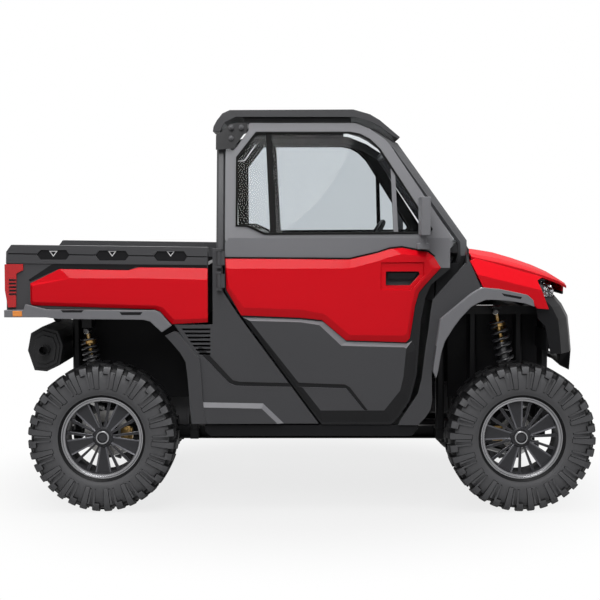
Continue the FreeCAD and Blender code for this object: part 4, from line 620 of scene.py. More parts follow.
class VEHICLE_OT_panels(bpy.types.Operator):
    """Rounds the edges of the moulded and painted panels, and gives parts of the grey mouldings
    painted highlights and painted shade
    """
    bl_idname = "vehicle.panels"
    bl_label = "Panels"

    def execute(self, context):
        edge = context.scene.vehicle_sizes.panel_edge
        looks = {}
        for node in CREASED_NODES:
            levels = DOOR_LEVELS if node.endswith("_shell") else ()
            proud = SKIN_PROUD if "skin" in node else ()
            looks[node] = refined(node, edge * 0.7, 2, 7, None, 24, levels, proud)
        looks.update({node: refined(node, edge) for node in ROUND_NODES})
        for side, sign in SIGNS:
            shell = looks["door_" + side + "_shell"]
            two_toned(shell, "black_mould", lambda centre, normal: normal.y * sign < -0.4)
            # Painted light: the upper band and window frame of the door shell get the lighter copy
            # of the grey mouldings, because they are lit from above
            two_toned(shell, "painted_light_mould", lambda centre, normal: normal.y * sign > -0.4
                      and (centre.z > 1.40 or centre.z > 1.26 and centre.x > -0.36))
            two_toned(shell, "seal_rubber_and_painted_shadow", on_divider)
            # Painted shade: the recessed border round the door's lower pads gets the darker copy of
            # the grey mouldings
            two_toned(shell, "painted_shade_mould", lambda centre, normal: centre.z < PAD_TOP
                      and DOOR_BORDER[0] < abs(centre.y) < DOOR_BORDER[1]
                      and normal.y * sign > 0.3)
            # Painted highlight on the upward-facing slopes of the door's lower panels
            two_toned(shell, "painted_light_mould", painted_highlight_slope)
            fittings = looks["door_" + side + "_fittings"]
            two_toned(fittings, "body_paint",
                      lambda centre, normal: abs(centre.y) > 0.7415 and centre.x < 0.64
                      and centre.z < 1.30)
            # Painted light: the top of the door fittings gets the lighter copy of the grey
            # mouldings
            two_toned(fittings, "painted_light_mould", lambda centre, normal: centre.z > 1.345)
        # Painted shade: the set-back faces of the quarter panels get the darker copy of the grey
        # mouldings
        two_toned(looks["quarter_panels"], "painted_shade_mould",
                  lambda centre, normal: abs(centre.y) < QUARTER_BORDER and abs(normal.y) > 0.9)
        # Painted highlight on the upward-facing slopes of the quarter panels and the cowl
        for node in ("quarter_panels", "cowl"):
            two_toned(looks[node], "painted_light_mould", painted_highlight_slope)
        # Painted light: the upper parts of the bed lips and front flares get the lighter copy of
        # the grey mouldings
        for node in ("bed_lips", "front_flares"):
            two_toned(looks[node], "painted_light_mould", lambda centre, normal: centre.z > 0.90)
        # Painted shade: the floors of the pockets in the bed rails are made black
        inner, outer, foot, top = RAIL_POCKETS
        two_toned(looks["bed_rails"], "black_mould",
                  lambda centre, normal: inner < abs(centre.y) < outer and abs(normal.y) > 0.9
                  and foot < centre.z < top)
        two_toned(looks["roof"], "black_mould", lambda centre, normal: normal.z < -0.5)
        two_toned(looks["bed_tub"], "grey_mould",
                  lambda centre, normal: abs(centre.y) > 0.72 and abs(normal.y) > 0.8)
        return {"FINISHED"}


class VEHICLE_OT_metalwork(bpy.types.Operator):
    """Rounds the edges of the frame, the cage and the running gear"""
    bl_idname = "vehicle.metalwork"
    bl_label = "Metalwork"

    def execute(self, context):
        edge = context.scene.vehicle_sizes.metal_edge
        for node in METAL_NODES:
            refined(node, edge, 2, 40, DARKER_METAL.get(node))
        return {"FINISHED"}


def axle_of(corner):
    """Middle of a wheel, and the side of the vehicle that it is on."""
    low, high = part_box("tyre_" + corner)
    return (low + high) / 2, (-1 if "right" in corner else 1)


# Tyre and wheel sections as radius and sideways offset from the wheel's middle
CARCASS = (
    (0.2113, 0.098), (0.2180, 0.104), (0.2240, 0.112), (0.2290, 0.1125), (0.2330, 0.115),
    (0.2420, 0.1185), (0.2520, 0.1205), (0.2700, 0.1215), (0.3000, 0.1210), (0.3250, 0.1170),
    (0.3450, 0.1080), (0.3590, 0.0940), (0.3660, 0.0750), (0.3685, 0.0400), (0.3690, 0.0),
)
SHOULDER_LUG = (
    (0.3640, 0.0700), (0.3805, 0.0640), (0.3800, 0.0930), (0.3720, 0.1120), (0.3560, 0.1235),
    (0.3300, 0.1268), (0.2900, 0.1268), (0.2580, 0.1245), (0.2520, 0.1190), (0.2900, 0.1170),
    (0.3250, 0.1130), (0.3500, 0.0980),
)
SHORT_LUG = (
    (0.3640, 0.0760), (0.3800, 0.0720), (0.3795, 0.0930), (0.3720, 0.1120), (0.3560, 0.1235),
    (0.3400, 0.1262), (0.3330, 0.1262), (0.3300, 0.1120), (0.3500, 0.0980),
)
THIN_LUG = (
    (0.3420, 0.1150), (0.3420, 0.1262), (0.3000, 0.1266), (0.2620, 0.1250), (0.2560, 0.1180),
    (0.3000, 0.1150),
)
CENTRE_LUG = ((0.3660, 0.0060), (0.3805, 0.0080), (0.3805, 0.0520), (0.3660, 0.0560))
# Section, start and sweep in pitches, rounding and steps of the sweep of each lug
LUGS = (
    (SHOULDER_LUG, 0.0, 0.56, 0.0022, 2), (SHORT_LUG, 0.98, 0.62, 0.0022, 2),
    (THIN_LUG, 0.98, 0.18, None, 1), (THIN_LUG, 1.42, 0.18, None, 1),
    (CENTRE_LUG, 0.5, 1.15, 0.002, 2),
)


def flipped(profile):
    return [(radius, -offset) for radius, offset in profile]


def tyre(context):
    """Chunky mud tyre about the origin, with alternating plain and forked shoulder lugs."""
    count = context.scene.vehicle_sizes.lug_count
    pitch = 2 * math.pi / count
    outline = list(CARCASS) + flipped(CARCASS[-2::-1])
    parts = [lathed("tyre", outline, ORIGIN, 120)]
    for side_index, shape in enumerate((list, flipped)):
        shift = side_index * pitch / 2
        for section, start, sweep, edge, steps in LUGS:
            lug = wedge("lug", shape(section), ORIGIN, shift + pitch * start, pitch * sweep, steps)
            if edge:
                rounded(lug, edge, 1, 30)
            parts.append(around(lug, ORIGIN, count // 2))
    piece = merged("tyre", parts)
    smooth(piece, 30)
    coloured(piece, "tyre_rubber")
    # Painted sheen: the sideways faces of the sidewall and lugs get the lighter copy of the rubber
    two_toned(piece, "tyre_painted_sheen", lambda centre, normal: abs(normal.y) > 0.8
              and abs(centre.y) > 0.112)
    return piece


def placed_copy(piece, name, axle, side, angle=0.0):
    """Copy moved to a place, such as a wheel's axle; on the left it is turned about the upright."""
    twin = copy_of(piece, name)
    turn = Matrix.Rotation(math.pi if side > 0 else 0.0, 4, "Z")
    twin.matrix_world = Matrix.Translation(axle) @ turn @ Matrix.Rotation(angle, 4, "Y")
    settle(twin)
    return twin


class VEHICLE_OT_tyres(bpy.types.Operator):
    """Models one tyre and places it at the four wheels"""
    bl_idname = "vehicle.tyres"
    bl_label = "Tyres"

    def execute(self, context):
        model = tyre(context)
        for index, corner in enumerate(CORNERS):
            axle, side = axle_of(corner)
            piece = placed_copy(model, "look_tyre_" + corner, axle, side, 0.03 * index)
            dressed(piece, "wheel_" + corner, None, ("tyre_" + corner,))
        bpy.data.objects.remove(model)
        return {"FINISHED"}


BARREL = (
    (0.2110, -0.0980), (0.2110, 0.0930), (0.2090, 0.0975), (0.2050, 0.0980), (0.2030, 0.0950),
    (0.1990, 0.0900), (0.1960, 0.0890), (0.1940, 0.0905), (0.1915, 0.0900), (0.1890, 0.0850),
    (0.1860, 0.0600), (0.1840, 0.0000), (0.1860, -0.0800), (0.1950, -0.0960), (0.2110, -0.0980),
)


HUB_EDGE = 0.045
BLADE_END = 0.1960
WHEEL_FACE = -0.064
HUB_BACK = 0.016


def blade(name, inner_width, outer_width, face, thickness, crown):
    """Tapered spoke that points up from the hub, its outer face towards -Y."""
    inner, outer = HUB_EDGE, BLADE_END
    piece = block(name, (0, face + thickness / 2, (inner + outer) / 2),
                  (outer_width, thickness, outer - inner))
    scale_faces(piece, lambda centre, normal: normal.z < -0.9,
                (inner_width / outer_width, 1, 1), (0, 0, inner))
    inset_faces(piece, lambda centre, normal: normal.y < -0.9, crown, -crown * 0.5)
    rounded(piece, 0.0012, 1, 20)
    return piece


def wheel(first_angle):
    """Cast wheel about the origin, face towards -Y: barrel, blades, thin spokes and hub."""
    face = WHEEL_FACE
    parts = [lathed("wheel", flipped(BARREL), ORIGIN, 120)]
    for index in range(5):
        upright = math.pi / 2 - first_angle - math.radians(72) * index
        for name, lean, measures in (("blade", 0, (0.034, 0.088, face, 0.014, 0.009)),
                                     ("spoke", 25, (0.0105, 0.0155, face + 0.001, 0.018, 0.002)),
                                     ("spoke", 47, (0.0105, 0.0155, face + 0.001, 0.018, 0.002))):
            part = blade(name, *measures)
            part.matrix_world = Matrix.Rotation(upright - math.radians(lean), 4, "Y")
            settle(part)
            parts.append(part)
    parts.append(lathed("hub", [(0.0001, face - 0.003), (0.046, face - 0.003),
                                (0.052, face + 0.001), (0.055, face + 0.006),
                                (0.060, face + 0.026), (0.0370, face + 0.027),
                                (0.0370, HUB_BACK), (0.0001, HUB_BACK)], ORIGIN, 64))
    for inner, outer, rise in ((0.0, 0.024, 0.017), (0.027, 0.034, 0.021)):
        inner = max(inner, 0.0001)
        cap = lathed("cap", [(inner, face - rise), (outer - 0.002, face - rise),
                             (outer, face - rise + 0.002), (outer, face), (inner, face)],
                     ORIGIN, 48)
        parts.append(cap)
    for index in range(4):
        angle = first_angle + math.radians(45 + 90 * index)
        nut = barrel("nut", (0.0425 * math.cos(angle), face - 0.006, 0.0425 * math.sin(angle)),
                     0.0060, 0.008, SIDEWAYS, 6)
        rounded(nut, 0.001, 1)
        parts.append(nut)
    piece = merged("wheel", parts)
    smooth(piece, 32)
    coloured(piece, "wheel_paint")
    two_toned(piece, "wheel_edge", lambda centre, normal: -0.95 < normal.y < -0.4
              and centre.y < face + 0.004 and 0.060 < math.hypot(centre.x, centre.z) < 0.188)
    two_toned(piece, "black_mould", lambda centre, normal: centre.y < -0.084
              and math.hypot(centre.x, centre.z) > 0.1885)
    two_toned(piece, "wheel_cap", lambda centre, normal: centre.y < face - 0.012
              and math.hypot(centre.x, centre.z) > 0.026)
    return piece


def brake(side_face, radius):
    """Brake disc about the origin."""
    inner, back = 0.060, side_face + 0.005
    disc = lathed("brake", [(inner, side_face), (radius, side_face), (radius, back),
                            (inner, back), (inner, side_face)], ORIGIN, 72)
    smooth(disc, 30)
    return disc


def caliper():
    """Brake caliper about the origin: two jaws and the bridge over the disc's edge."""
    parts = []
    for centre, size in (((0.101, 0.063, 0), (0.052, 0.020, 0.078)),
                         ((0.101, 0.0915, 0), (0.052, 0.009, 0.070)),
                         ((0.1300, 0.0750, 0), (0.012, 0.042, 0.060))):
        parts.append(bar("caliper", centre, size, 0.0035))
    for height in (-0.022, 0.022):
        piston = barrel("caliper", (0.100, 0.051, height), 0.0150, 0.008, SIDEWAYS, 28)
        rounded(piston, 0.002, 2)
        parts.append(piston)
    piece = merged("caliper", parts)
    smooth(piece, 35)
    return piece


class VEHICLE_OT_wheels(bpy.types.Operator):
    """Models the cast wheels and places them at the four corners"""
    bl_idname = "vehicle.wheels"
    bl_label = "Wheels"

    def execute(self, context):
        for start, corners, radius in ((28.0, CORNERS_FRONT, 0.088),
                                       (54.0, CORNERS_REAR, 0.118)):
            model = wheel(math.radians(start))
            disc = brake(0.0765, radius)
            for corner in corners:
                axle, side = axle_of(corner)
                body = "wheel_" + corner
                piece = placed_copy(model, "look_rim_" + corner, axle, side)
                dressed(piece, body, None, ("rim_" + corner,))
                part = placed_copy(disc, "brake_disc_" + corner, axle, side)
                dressed(part, body, "steel")
            holder = caliper()
            end, angle, bodies = (("front", math.pi, ("knuckle_right", "knuckle_left"))
                                  if corners is CORNERS_FRONT else ("rear", 0.0, ("root", "root")))
            axle, _ = axle_of(end + "_right")
            right = placed_copy(holder, "brake_caliper_" + end + "_right", axle, -1, angle)
            left = mirrored(right, "brake_caliper_" + end + "_left")
            for piece, body in zip((right, left), bodies):
                dressed(piece, body, "brass")
            for used in (model, disc, holder):
                bpy.data.objects.remove(used)
        return {"FINISHED"}


WIRE_RADIUS = 0.0085
COIL_RADIUS = 0.0420
COIL_TURNS = 8
COIL_END = 0.014
# Name, head and foot of each coil-over on the right-hand side
COIL_OVERS = (
    ("rear", (-1.1407, -0.4440, 0.9031), (-1.0805, -0.4580, 0.5320)),
    ("front", (1.0480, -0.4366, 1.0064), (1.1426, -0.4580, 0.5320)),
)


def coil_over(name, top, foot):
    """Damper with a round-wire spring between two seats, from its foot to its head."""
    length = (Vector(top) - Vector(foot)).length
    low, high = 0.20 * length, 0.88 * length
    parts = []
    for place, radius, height in ((length * 0.42, 0.0290, length * 0.48),
                                  (length * 0.78, 0.0125, length * 0.40),
                                  (low, 0.0510, 0.010), (low + 0.012, 0.0400, 0.014),
                                  (high, 0.0510, 0.010), (high - 0.014, 0.0380, 0.018)):
        part = barrel(name, (0, 0, place), radius, height, (0, 0, 0), 40)
        rounded(part, 0.0022, 2)
        parts.append(part)
    for place in (0.0, length):
        eye = barrel(name, (0, 0, place), 0.0158, 0.0530, (0, math.pi / 2, 0), 32)
        rounded(eye, 0.0025, 2)
        parts.append(eye)
        neck = barrel(name, (0, 0, place + math.copysign(0.022, length / 2 - place)), 0.0125,
                      0.030, (0, 0, 0), 24)
        parts.append(neck)
    bpy.ops.object.select_all(action="DESELECT")
    bpy.ops.mesh.primitive_circle_add(vertices=14, radius=WIRE_RADIUS, fill_type="NOTHING",
                                      location=(COIL_RADIUS, 0, low + COIL_END),
                                      rotation=SIDEWAYS)
    strand = bpy.context.object
    settle(strand)
    modified(strand, "SCREW", angle=2 * math.pi * COIL_TURNS,
             screw_offset=high - low - 2 * COIL_END, iterations=1, steps=196, render_steps=196,
             axis="Z", use_smooth_shade=True)
    edit(strand)
    bpy.ops.mesh.select_all(action="DESELECT")
    bpy.ops.mesh.select_non_manifold()
    bpy.ops.mesh.edge_face_add()
    close_mesh()
    parts.append(strand)
    piece = merged(name, parts)
    smooth(piece, 40)
    return aimed(piece, foot, top)


class VEHICLE_OT_springs(bpy.types.Operator):
    """Models the coil-overs between the frame and the upper arms"""
    bl_idname = "vehicle.springs"
    bl_label = "Coil-overs"

    def execute(self, context):
        parts = []
        for name, top, foot in COIL_OVERS:
            unit = coil_over(name, top, foot)
            parts += [unit, mirrored(unit, name + "_left")]
        piece = merged("look_shocks", parts)
        dressed(piece, "root", "spring_paint", ("shocks",))
        for name, top, foot in COIL_OVERS:
            collar = Vector(foot).lerp(Vector(top), 0.835)
            rod = Vector(foot).lerp(Vector(top), 0.94)
            for finish_name, middle, reach in (("brass", collar, 0.030), ("zinc", rod, 0.022)):
                two_toned(piece, finish_name, lambda centre, normal:
                          (Vector((centre.x, -abs(centre.y), centre.z)) - middle).length < 0.045
                          and abs(centre.z - middle.z) < reach)
        return {"FINISHED"}


def fastener(radius):
    """Hexagon head on a washer about the origin, pointing towards -Y."""
    washer = barrel("bolt", (0, -0.001, 0), radius * 1.55, 0.002, SIDEWAYS, 28)
    head = barrel("bolt", (0, -0.0015 - radius * 0.45, 0), radius, radius * 0.9,
                  SIDEWAYS, 6)
    rounded(washer, 0.0005, 1)
    rounded(head, radius * 0.14, 2)
    piece = merged("bolt", [washer, head])
    settle(piece)
    smooth(piece, 35)
    return piece


# Places on the left-hand side
GUSSET_BOLTS = ((-0.3570, 0.6582, 1.9730), (-0.3050, 0.6582, 1.9730), (-0.3570, 0.6582, 1.9170))


class VEHICLE_OT_fasteners(bpy.types.Operator):
    """Adds the bolts of the cage's gussets"""
    bl_idname = "vehicle.fasteners"
    bl_label = "Fasteners"

    def execute(self, context):
        model = fastener(0.0085)
        for side, sign in SIGNS:
            parts = [placed_copy(model, "bolt", (x, sign * y, z), sign)
                     for x, y, z in GUSSET_BOLTS]
            dressed(merged("gusset_bolts_" + side, parts), "root", "cage_paint")
        bpy.data.objects.remove(model)
        return {"FINISHED"}


WHEEL_CENTRE = (0.3923, 0.3700, 1.3202)
WHEEL_AXIS = (-0.8526, 0.0, 0.5226)


class VEHICLE_OT_steering_wheel(bpy.types.Operator):
    """Models the steering wheel with its grip, spokes, centre pad and shaft"""
    bl_idname = "vehicle.steering_wheel"
    bl_label = "Steering wheel"

    def execute(self, context):
        deselect()
        bpy.ops.mesh.primitive_torus_add(major_radius=0.1900, minor_radius=0.0165,
                                         major_segments=96, minor_segments=20)
        ring = bpy.context.object
        parts = [ring]
        for angle in (0, math.pi, -math.pi / 2):
            spoke = block("spoke", (0.105, 0, -0.004), (0.165, 0.042, 0.012))
            scale_faces(spoke, lambda centre, normal: normal.x > 0.9, (1, 0.62, 0.9),
                        (0.19, 0, 0.0))
            rounded(spoke, 0.004, 3)
            spoke.matrix_world = Matrix.Rotation(angle, 4, "Z")
            settle(spoke)
            parts.append(spoke)
        pad = block("pad", (0, -0.004, 0.004), (0.120, 0.096, 0.036))
        inset_faces(pad, lambda centre, normal: normal.z > 0.9, 0.012, 0.006)
        rounded(pad, 0.008, 3)
        parts.append(pad)
        shaft = barrel("shaft", (0, 0, -0.105), 0.0180, 0.200, (0, 0, 0), 40)
        boot = barrel("boot", (0, 0, -0.040), 0.0310, 0.060, (0, 0, 0), 40)
        for part in (shaft, boot):
            rounded(part, 0.004, 3)
            parts.append(part)
        piece = merged("look_steering_wheel", parts)
        smooth(piece, 40)
        axis = Vector(WHEEL_AXIS)
        side = Vector((0, 1, 0))
        rows = Matrix((side, axis.cross(side), axis)).transposed()
        piece.matrix_world = Matrix.Translation(WHEEL_CENTRE) @ rows.to_4x4()
        dressed(piece, "steering_wheel", "black_mould", ("steering_wheel",))
        return {"FINISHED"}


SEAT_SHRINK = 0.010
SEAT_FRAMES = 20
SEAT_CLEARANCE = 0.0015


def cushion(context, node, cap, rest_axis):
    """Padded stand-in for a seat node: remeshed, blown up as cloth, held to the cap, smoothed."""
    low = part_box(node)[0]
    piece = node_copy(node)
    finish_edit()
    voxel = context.scene.vehicle_sizes.seat_mesh
    modified(piece, "REMESH", mode="VOXEL", voxel_size=voxel, use_smooth_shade=True)
    modified(piece, "DISPLACE", strength=-SEAT_SHRINK, mid_level=0.0, direction="NORMAL")
    modified(piece, "SMOOTH", factor=0.5, iterations=4)
    before = [vertex.co.copy() for vertex in piece.data.vertices]
    cloth = piece.modifiers.new("Cloth", "CLOTH")
    cloth.settings.quality = 4
    cloth.settings.use_pressure = True
    cloth.settings.uniform_pressure_force = 4.0
    cloth.settings.effector_weights.gravity = 0.0
    cloth.point_cache.frame_start = 1
    cloth.point_cache.frame_end = SEAT_FRAMES
    for number in range(1, SEAT_FRAMES + 1):
        context.scene.frame_set(number)
    pick(piece)
    bpy.ops.object.modifier_apply(modifier=cloth.name)
    context.scene.frame_set(1)
    for vertex, start in zip(piece.data.vertices, before):
        move = vertex.co - start
        if move.length > cap:
            vertex.co = start + move.normalized() * cap
    for vertex in piece.data.vertices:
        vertex.co[rest_axis] = max(vertex.co[rest_axis], low[rest_axis] + SEAT_CLEARANCE)
    modified(piece, "SUBSURF", levels=1, render_levels=1)
    return piece


def channels(piece, lines, axis, width, depth, push):
    """Sewn channels: presses the surface in along straight lines across an axis."""
    for vertex in piece.data.vertices:
        for line in lines:
            near = (vertex.co[axis] - line) / width
            if abs(near) < 3:
                vertex.co += Vector(push(vertex)) * depth * math.exp(-near * near)


class VEHICLE_OT_seats(bpy.types.Operator):
    """Models the padded seat cushions and backs"""
    bl_idname = "vehicle.seats"
    bl_label = "Seats"

    def execute(self, context):
        base = cushion(context, "seat_base", 0.024, 2)
        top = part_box("seat_base")[1].z

        def down(vertex):
            return (0, 0, -1) if vertex.co.z > top - 0.05 else (0, 0, 0)

        channels(base, (-0.22, -0.10, 0.02), 0, 0.006, 0.007, down)
        back = cushion(context, "seat_backs", 0.022, 0)
        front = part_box("seat_backs")[1].x

        def inwards(vertex):
            return (-1, 0, 0) if vertex.co.x > front - 0.06 else (0, 0, 0)

        channels(back, (1.02, 1.16, 1.30), 2, 0.006, 0.007, inwards)
        for piece, node in ((base, "seat_base"), (back, "seat_backs")):
            smooth(piece, 60)
            dressed(piece, "root", "seat_vinyl", (node,))
        return {"FINISHED"}


LAMP_SPLIT = 1.262
NOSE_RAILS = (
    ((1.236, 0, 1.1825), (0.072, 1.270, 0.012), 0.003),
    ((1.287, 0, 0.865), (0.012, 1.300, 0.110), 0.003),
    ((1.270, 0, 1.113), (0.006, 0.700, 0.050), 0.0015),
)
BOWL = (
    (0.0001, 0.0), (0.0090, -0.0010), (0.0200, -0.0060), (0.0290, -0.0160), (0.0330, -0.0300),
    (0.0345, -0.0300), (0.0310, -0.0140), (0.0200, 0.0), (0.0001, 0.0040),
)


class VEHICLE_OT_lamps(bpy.types.Operator):
    """Models the headlamps with their bowls, the nose slats, and the tail lamps' louvres"""
    bl_idname = "vehicle.lamps"
    bl_label = "Lamps"

    def execute(self, context):
        self.headlamps()
        self.tail_lamps()
        return {"FINISHED"}

    def headlamps(self):
        lamps = refined("headlamps", 0.004, 3, 28, "lamp_lens")
        divided(lamps, (LAMP_SPLIT, 0, 0), (1, 0, 0))
        two_toned(lamps, "grey_mould", lambda centre, normal: centre.x < LAMP_SPLIT)
        for side, sign in SIGNS:
            parts = []
            for offset in (0.430, 0.530):
                bowl = lathed("bowl", BOWL, ORIGIN, 48)
                bulb = barrel("bulb", (0, -0.008, 0), 0.006, 0.014, SIDEWAYS, 24)
                rounded(bulb, 0.002, 2)
                unit = merged("bowl", [bowl, bulb])
                smooth(unit, 40)
                unit.matrix_world = (Matrix.Translation((1.288, sign * offset, 1.140))
                                     @ Matrix.Rotation(math.pi / 2, 4, "Z"))
                settle(unit)
                parts.append(unit)
            piece = merged("lamp_bowls_" + side, parts)
            dressed(piece, "root", "reflector")

            back = block("back", (1.215, sign * 0.505, 1.1365), (0.012, 0.255, 0.070))
            inset_faces(back, lambda centre, normal: normal.x > 0.9, 0.010, -0.004)
            rounded(back, 0.002, 2)
            dressed(back, "root", "black_mould").name = "lamp_back_" + side
        slats = [bar("slat", (1.300, 0, height), (0.050, 0.700, 0.005), 0.0018, (0, 0.35, 0))
                 for height in (1.1020, 1.1160, 1.1300)]
        slats += [bar("rail", centre, size, edge) for centre, size, edge in NOSE_RAILS]
        dressed(merged("nose_slats", slats), "root", "black_mould")

    def tail_lamps(self):
        piece = refined("tail_lamps", 0.0015, 2)
        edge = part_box("bed_lips")[1].z
        two_toned(piece, "amber_lens", lambda centre, normal: centre.z < edge - 0.03)
        for side, sign in SIGNS:
            parts = [bar("louvre", (-1.4725, sign * 0.7465, 1.118 + index * 0.018),
                         (0.036, 0.004, 0.009), 0.0014) for index in range(5)]
            dressed(merged("lamp_louvres_" + side, parts), "bed", "black_mould")


# The flank leans inwards above this height, by this share of the rise
BELT = 1.388
LEAN = 0.188
# Outlines as lengthwise and upright places, on the right-hand side
WINDOW = (
    (-0.332, 1.820), (-0.230, 1.952), (0.257, 1.952), (0.308, 1.942), (0.360, 1.915),
    (0.412, 1.864), (0.485, 1.752), (0.678, 1.450), (0.661, 1.426), (-0.186, 1.421),
    (-0.238, 1.446), (-0.274, 1.461), (-0.332, 1.463),
)
TIE_DOWNS = (-1.264, -0.963, -0.664)
BED_SEAM = (
    (-1.393, 1.190), (-1.384, 1.182), (-1.244, 1.245), (-0.880, 1.240), (-0.845, 1.257),
    (-0.478, 1.252), (-0.478, 1.268), (-0.838, 1.270), (-1.244, 1.274), (-1.274, 1.269),
)

# Outline of a black strip along the joint above the red door skin, standing for the shadow in the
# gap there: a painted shadow line
DOOR_SHADOW_LINE = (
    (-0.386, 1.3002), (0.2525, 1.2960), (0.3966, 1.3290), (0.4568, 1.3496), (0.5191, 1.3558),
    (0.5858, 1.3434), (0.6524, 1.3331), (0.6835, 1.3098), (0.6905, 1.3130), (0.6560, 1.3410),
    (0.5870, 1.3515), (0.5191, 1.3640), (0.4550, 1.3575), (0.3950, 1.3368), (0.2515, 1.3040),
    (-0.386, 1.3082),
)
# Slots in the bed lips and in the front flare, into which dark plates are laid as painted shade in
# the recesses
LIP_SLOTS = (
    ((-1.224, 1.0375), (-1.105, 1.0375), (-1.117, 1.0250), (-1.212, 1.0250)),
    ((-0.924, 1.0275), (-0.805, 1.0275), (-0.817, 1.0120), (-0.912, 1.0120)),
)
FLARE_SLOT = ((1.020, 1.126), (1.128, 1.106), (1.120, 1.094), (1.036, 1.110))
VENT_BACKING = ((-0.605, 0.946), (-0.450, 0.946), (-0.450, 0.785), (-0.520, 0.785))
PILLAR_TRIM = ((-0.440, 1.070), (-0.440, 1.190), (-0.372, 1.190), (-0.350, 1.070))
COWL_TRIM = (
    (0.700, 1.090), (0.700, 1.180), (0.760, 1.275), (0.822, 1.275), (0.800, 1.190), (0.750, 1.090),
)
# Name, body, finish, slot, outer and inner place sideways, rounding and outlines of each strip
STRIPS = (
    ("bed_seam_", "bed", "black_mould", "black_mould", -0.7362, -0.7335, 0.0008, (BED_SEAM,)),
    # Painted shadow: the black strip along the joint above the red door skin
    ("door_shadow_line_", "door_", "seal_rubber_and_painted_shadow", "grey_mould", -0.7414, -0.7392, 0.0006, (DOOR_SHADOW_LINE,)),
    ("vent_backing_", "root", "black_mould", "black_mould", -0.7115, -0.7065, 0.001,
     (VENT_BACKING,)),
    ("pillar_trim_", "root", "black_mould", "black_mould", -0.6985, -0.6930, 0.001,
     (PILLAR_TRIM,)),
    ("cowl_trim_", "root", "black_mould", "black_mould", -0.6900, -0.6840, 0.001, (COWL_TRIM,)),
    # Painted shade: dark plates laid in the recesses of the bed lips and the front flare
    ("lip_recess_shade_", "bed", "black_mould", "grey_mould", -0.7704, -0.7680, 0.0006, LIP_SLOTS),
    ("flare_recess_shade_", "root", "black_mould", "grey_mould", -0.7924, -0.7900, 0.0006,
     (FLARE_SLOT,)),
)
HOOD_LIP = (
    (-0.505, 1.149), (-0.460, 1.163), (-0.255, 1.176), (-0.225, 1.179), (0.225, 1.179),
    (0.255, 1.176), (0.460, 1.163), (0.505, 1.149), (0.497, 1.104), (-0.497, 1.104),
)
LIP_SPLIT = 1.121


class VEHICLE_OT_trim(bpy.types.Operator):
    """Adds seals, a seam on the bed, a painted shadow line above the door skins, marks, backing
    strips, dark plates of painted shade in the lip and flare recesses, bed ribs, radiator fins and
    the hood's lip
    """
    bl_idname = "vehicle.trim"
    bl_label = "Trim"

    def execute(self, context):
        seal = plate("seal", WINDOW, -0.7405, -0.7260, 0.011)
        for vertex in seal.data.vertices:
            vertex.co.y += LEAN * (vertex.co.z - BELT)
        rounded(seal, 0.002, 2, 50)
        smooth(seal, 40)
        marks = []
        for place in TIE_DOWNS:
            mark = plate("mark", ((place - 0.022, 1.3385), (place, 1.3090),
                                  (place + 0.022, 1.3385)), -0.7350, -0.7315, 0.0040)
            rounded(mark, 0.0007, 1, 50)
            marks.append(mark)
        self.on_both_sides(seal, "window_seal_", "door_", "seal_rubber_and_painted_shadow", "grey_mould")
        self.on_both_sides(merged("mark", marks), "tie_down_marks_", "bed", "bright_trim",
                           "black_mould")
        for name, body, look, slot, low, high, edge, outlines in STRIPS:
            parts = []
            for outline in outlines:
                part = plate("strip", outline, low, high)
                rounded(part, edge, 1, 50)
                parts.append(part)
            self.on_both_sides(merged("strip", parts), name, body, look, slot)
        self.bed_ribs()
        self.radiator()
        self.hood_lip()
        return {"FINISHED"}

    def on_both_sides(self, model, name, body, look, slot):
        """Dresses a right-hand piece and its mirrored twin; a body name may end with the side."""
        twin = mirrored(model, name + "left")
        model.name = name + "right"
        for piece, side in ((model, "right"), (twin, "left")):
            dressed(piece, body + side if body.endswith("_") else body, look)

    def hood_lip(self):
        """Turned-down front edge of the hood, with its dark lower rim."""
        lip = plate("hood_lip", HOOD_LIP, -1.3950, -1.3830)
        settle(lip)
        lip.matrix_world = Matrix.Rotation(math.pi / 2, 4, "Z")
        settle(lip)
        rounded(lip, 0.0025, 2, 30)
        divided(lip, (0, 0, LIP_SPLIT), (0, 0, 1))
        dressed(lip, "hood", "body_paint")
        two_toned(lip, "black_mould", lambda centre, normal: centre.z < LIP_SPLIT)

    def bed_ribs(self):
        """Shallow ribs along the floor of the bed."""
        parts = []
        for index in range(9):
            middle = (index - 4) * 0.145
            rib = block("rib", (-0.985, middle, 1.0325), (0.930, 0.046, 0.006))
            scale_faces(rib, lambda centre, normal: normal.z > 0.9, (0.985, 0.70, 1),
                        (-0.985, middle, 1.03))
            rounded(rib, 0.0012, 2)
            parts.append(rib)
        piece = merged("bed_floor_ribs", parts)
        smooth(piece, 30)
        dressed(piece, "bed", "black_mould")

    def radiator(self):
        """Cooling fins on the front of the radiator, between its two tanks."""
        low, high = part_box("radiator")
        refined("radiator", 0.003, 2)
        fin = block("radiator_fins", (high.x + 0.002, 0, low.z + 0.06), (0.004, 0.56, 0.0022))
        modified(fin, "ARRAY", count=70, use_relative_offset=False, use_constant_offset=True,
                 constant_offset_displace=(0, 0, 0.0070))
        dressed(fin, "root", "core")


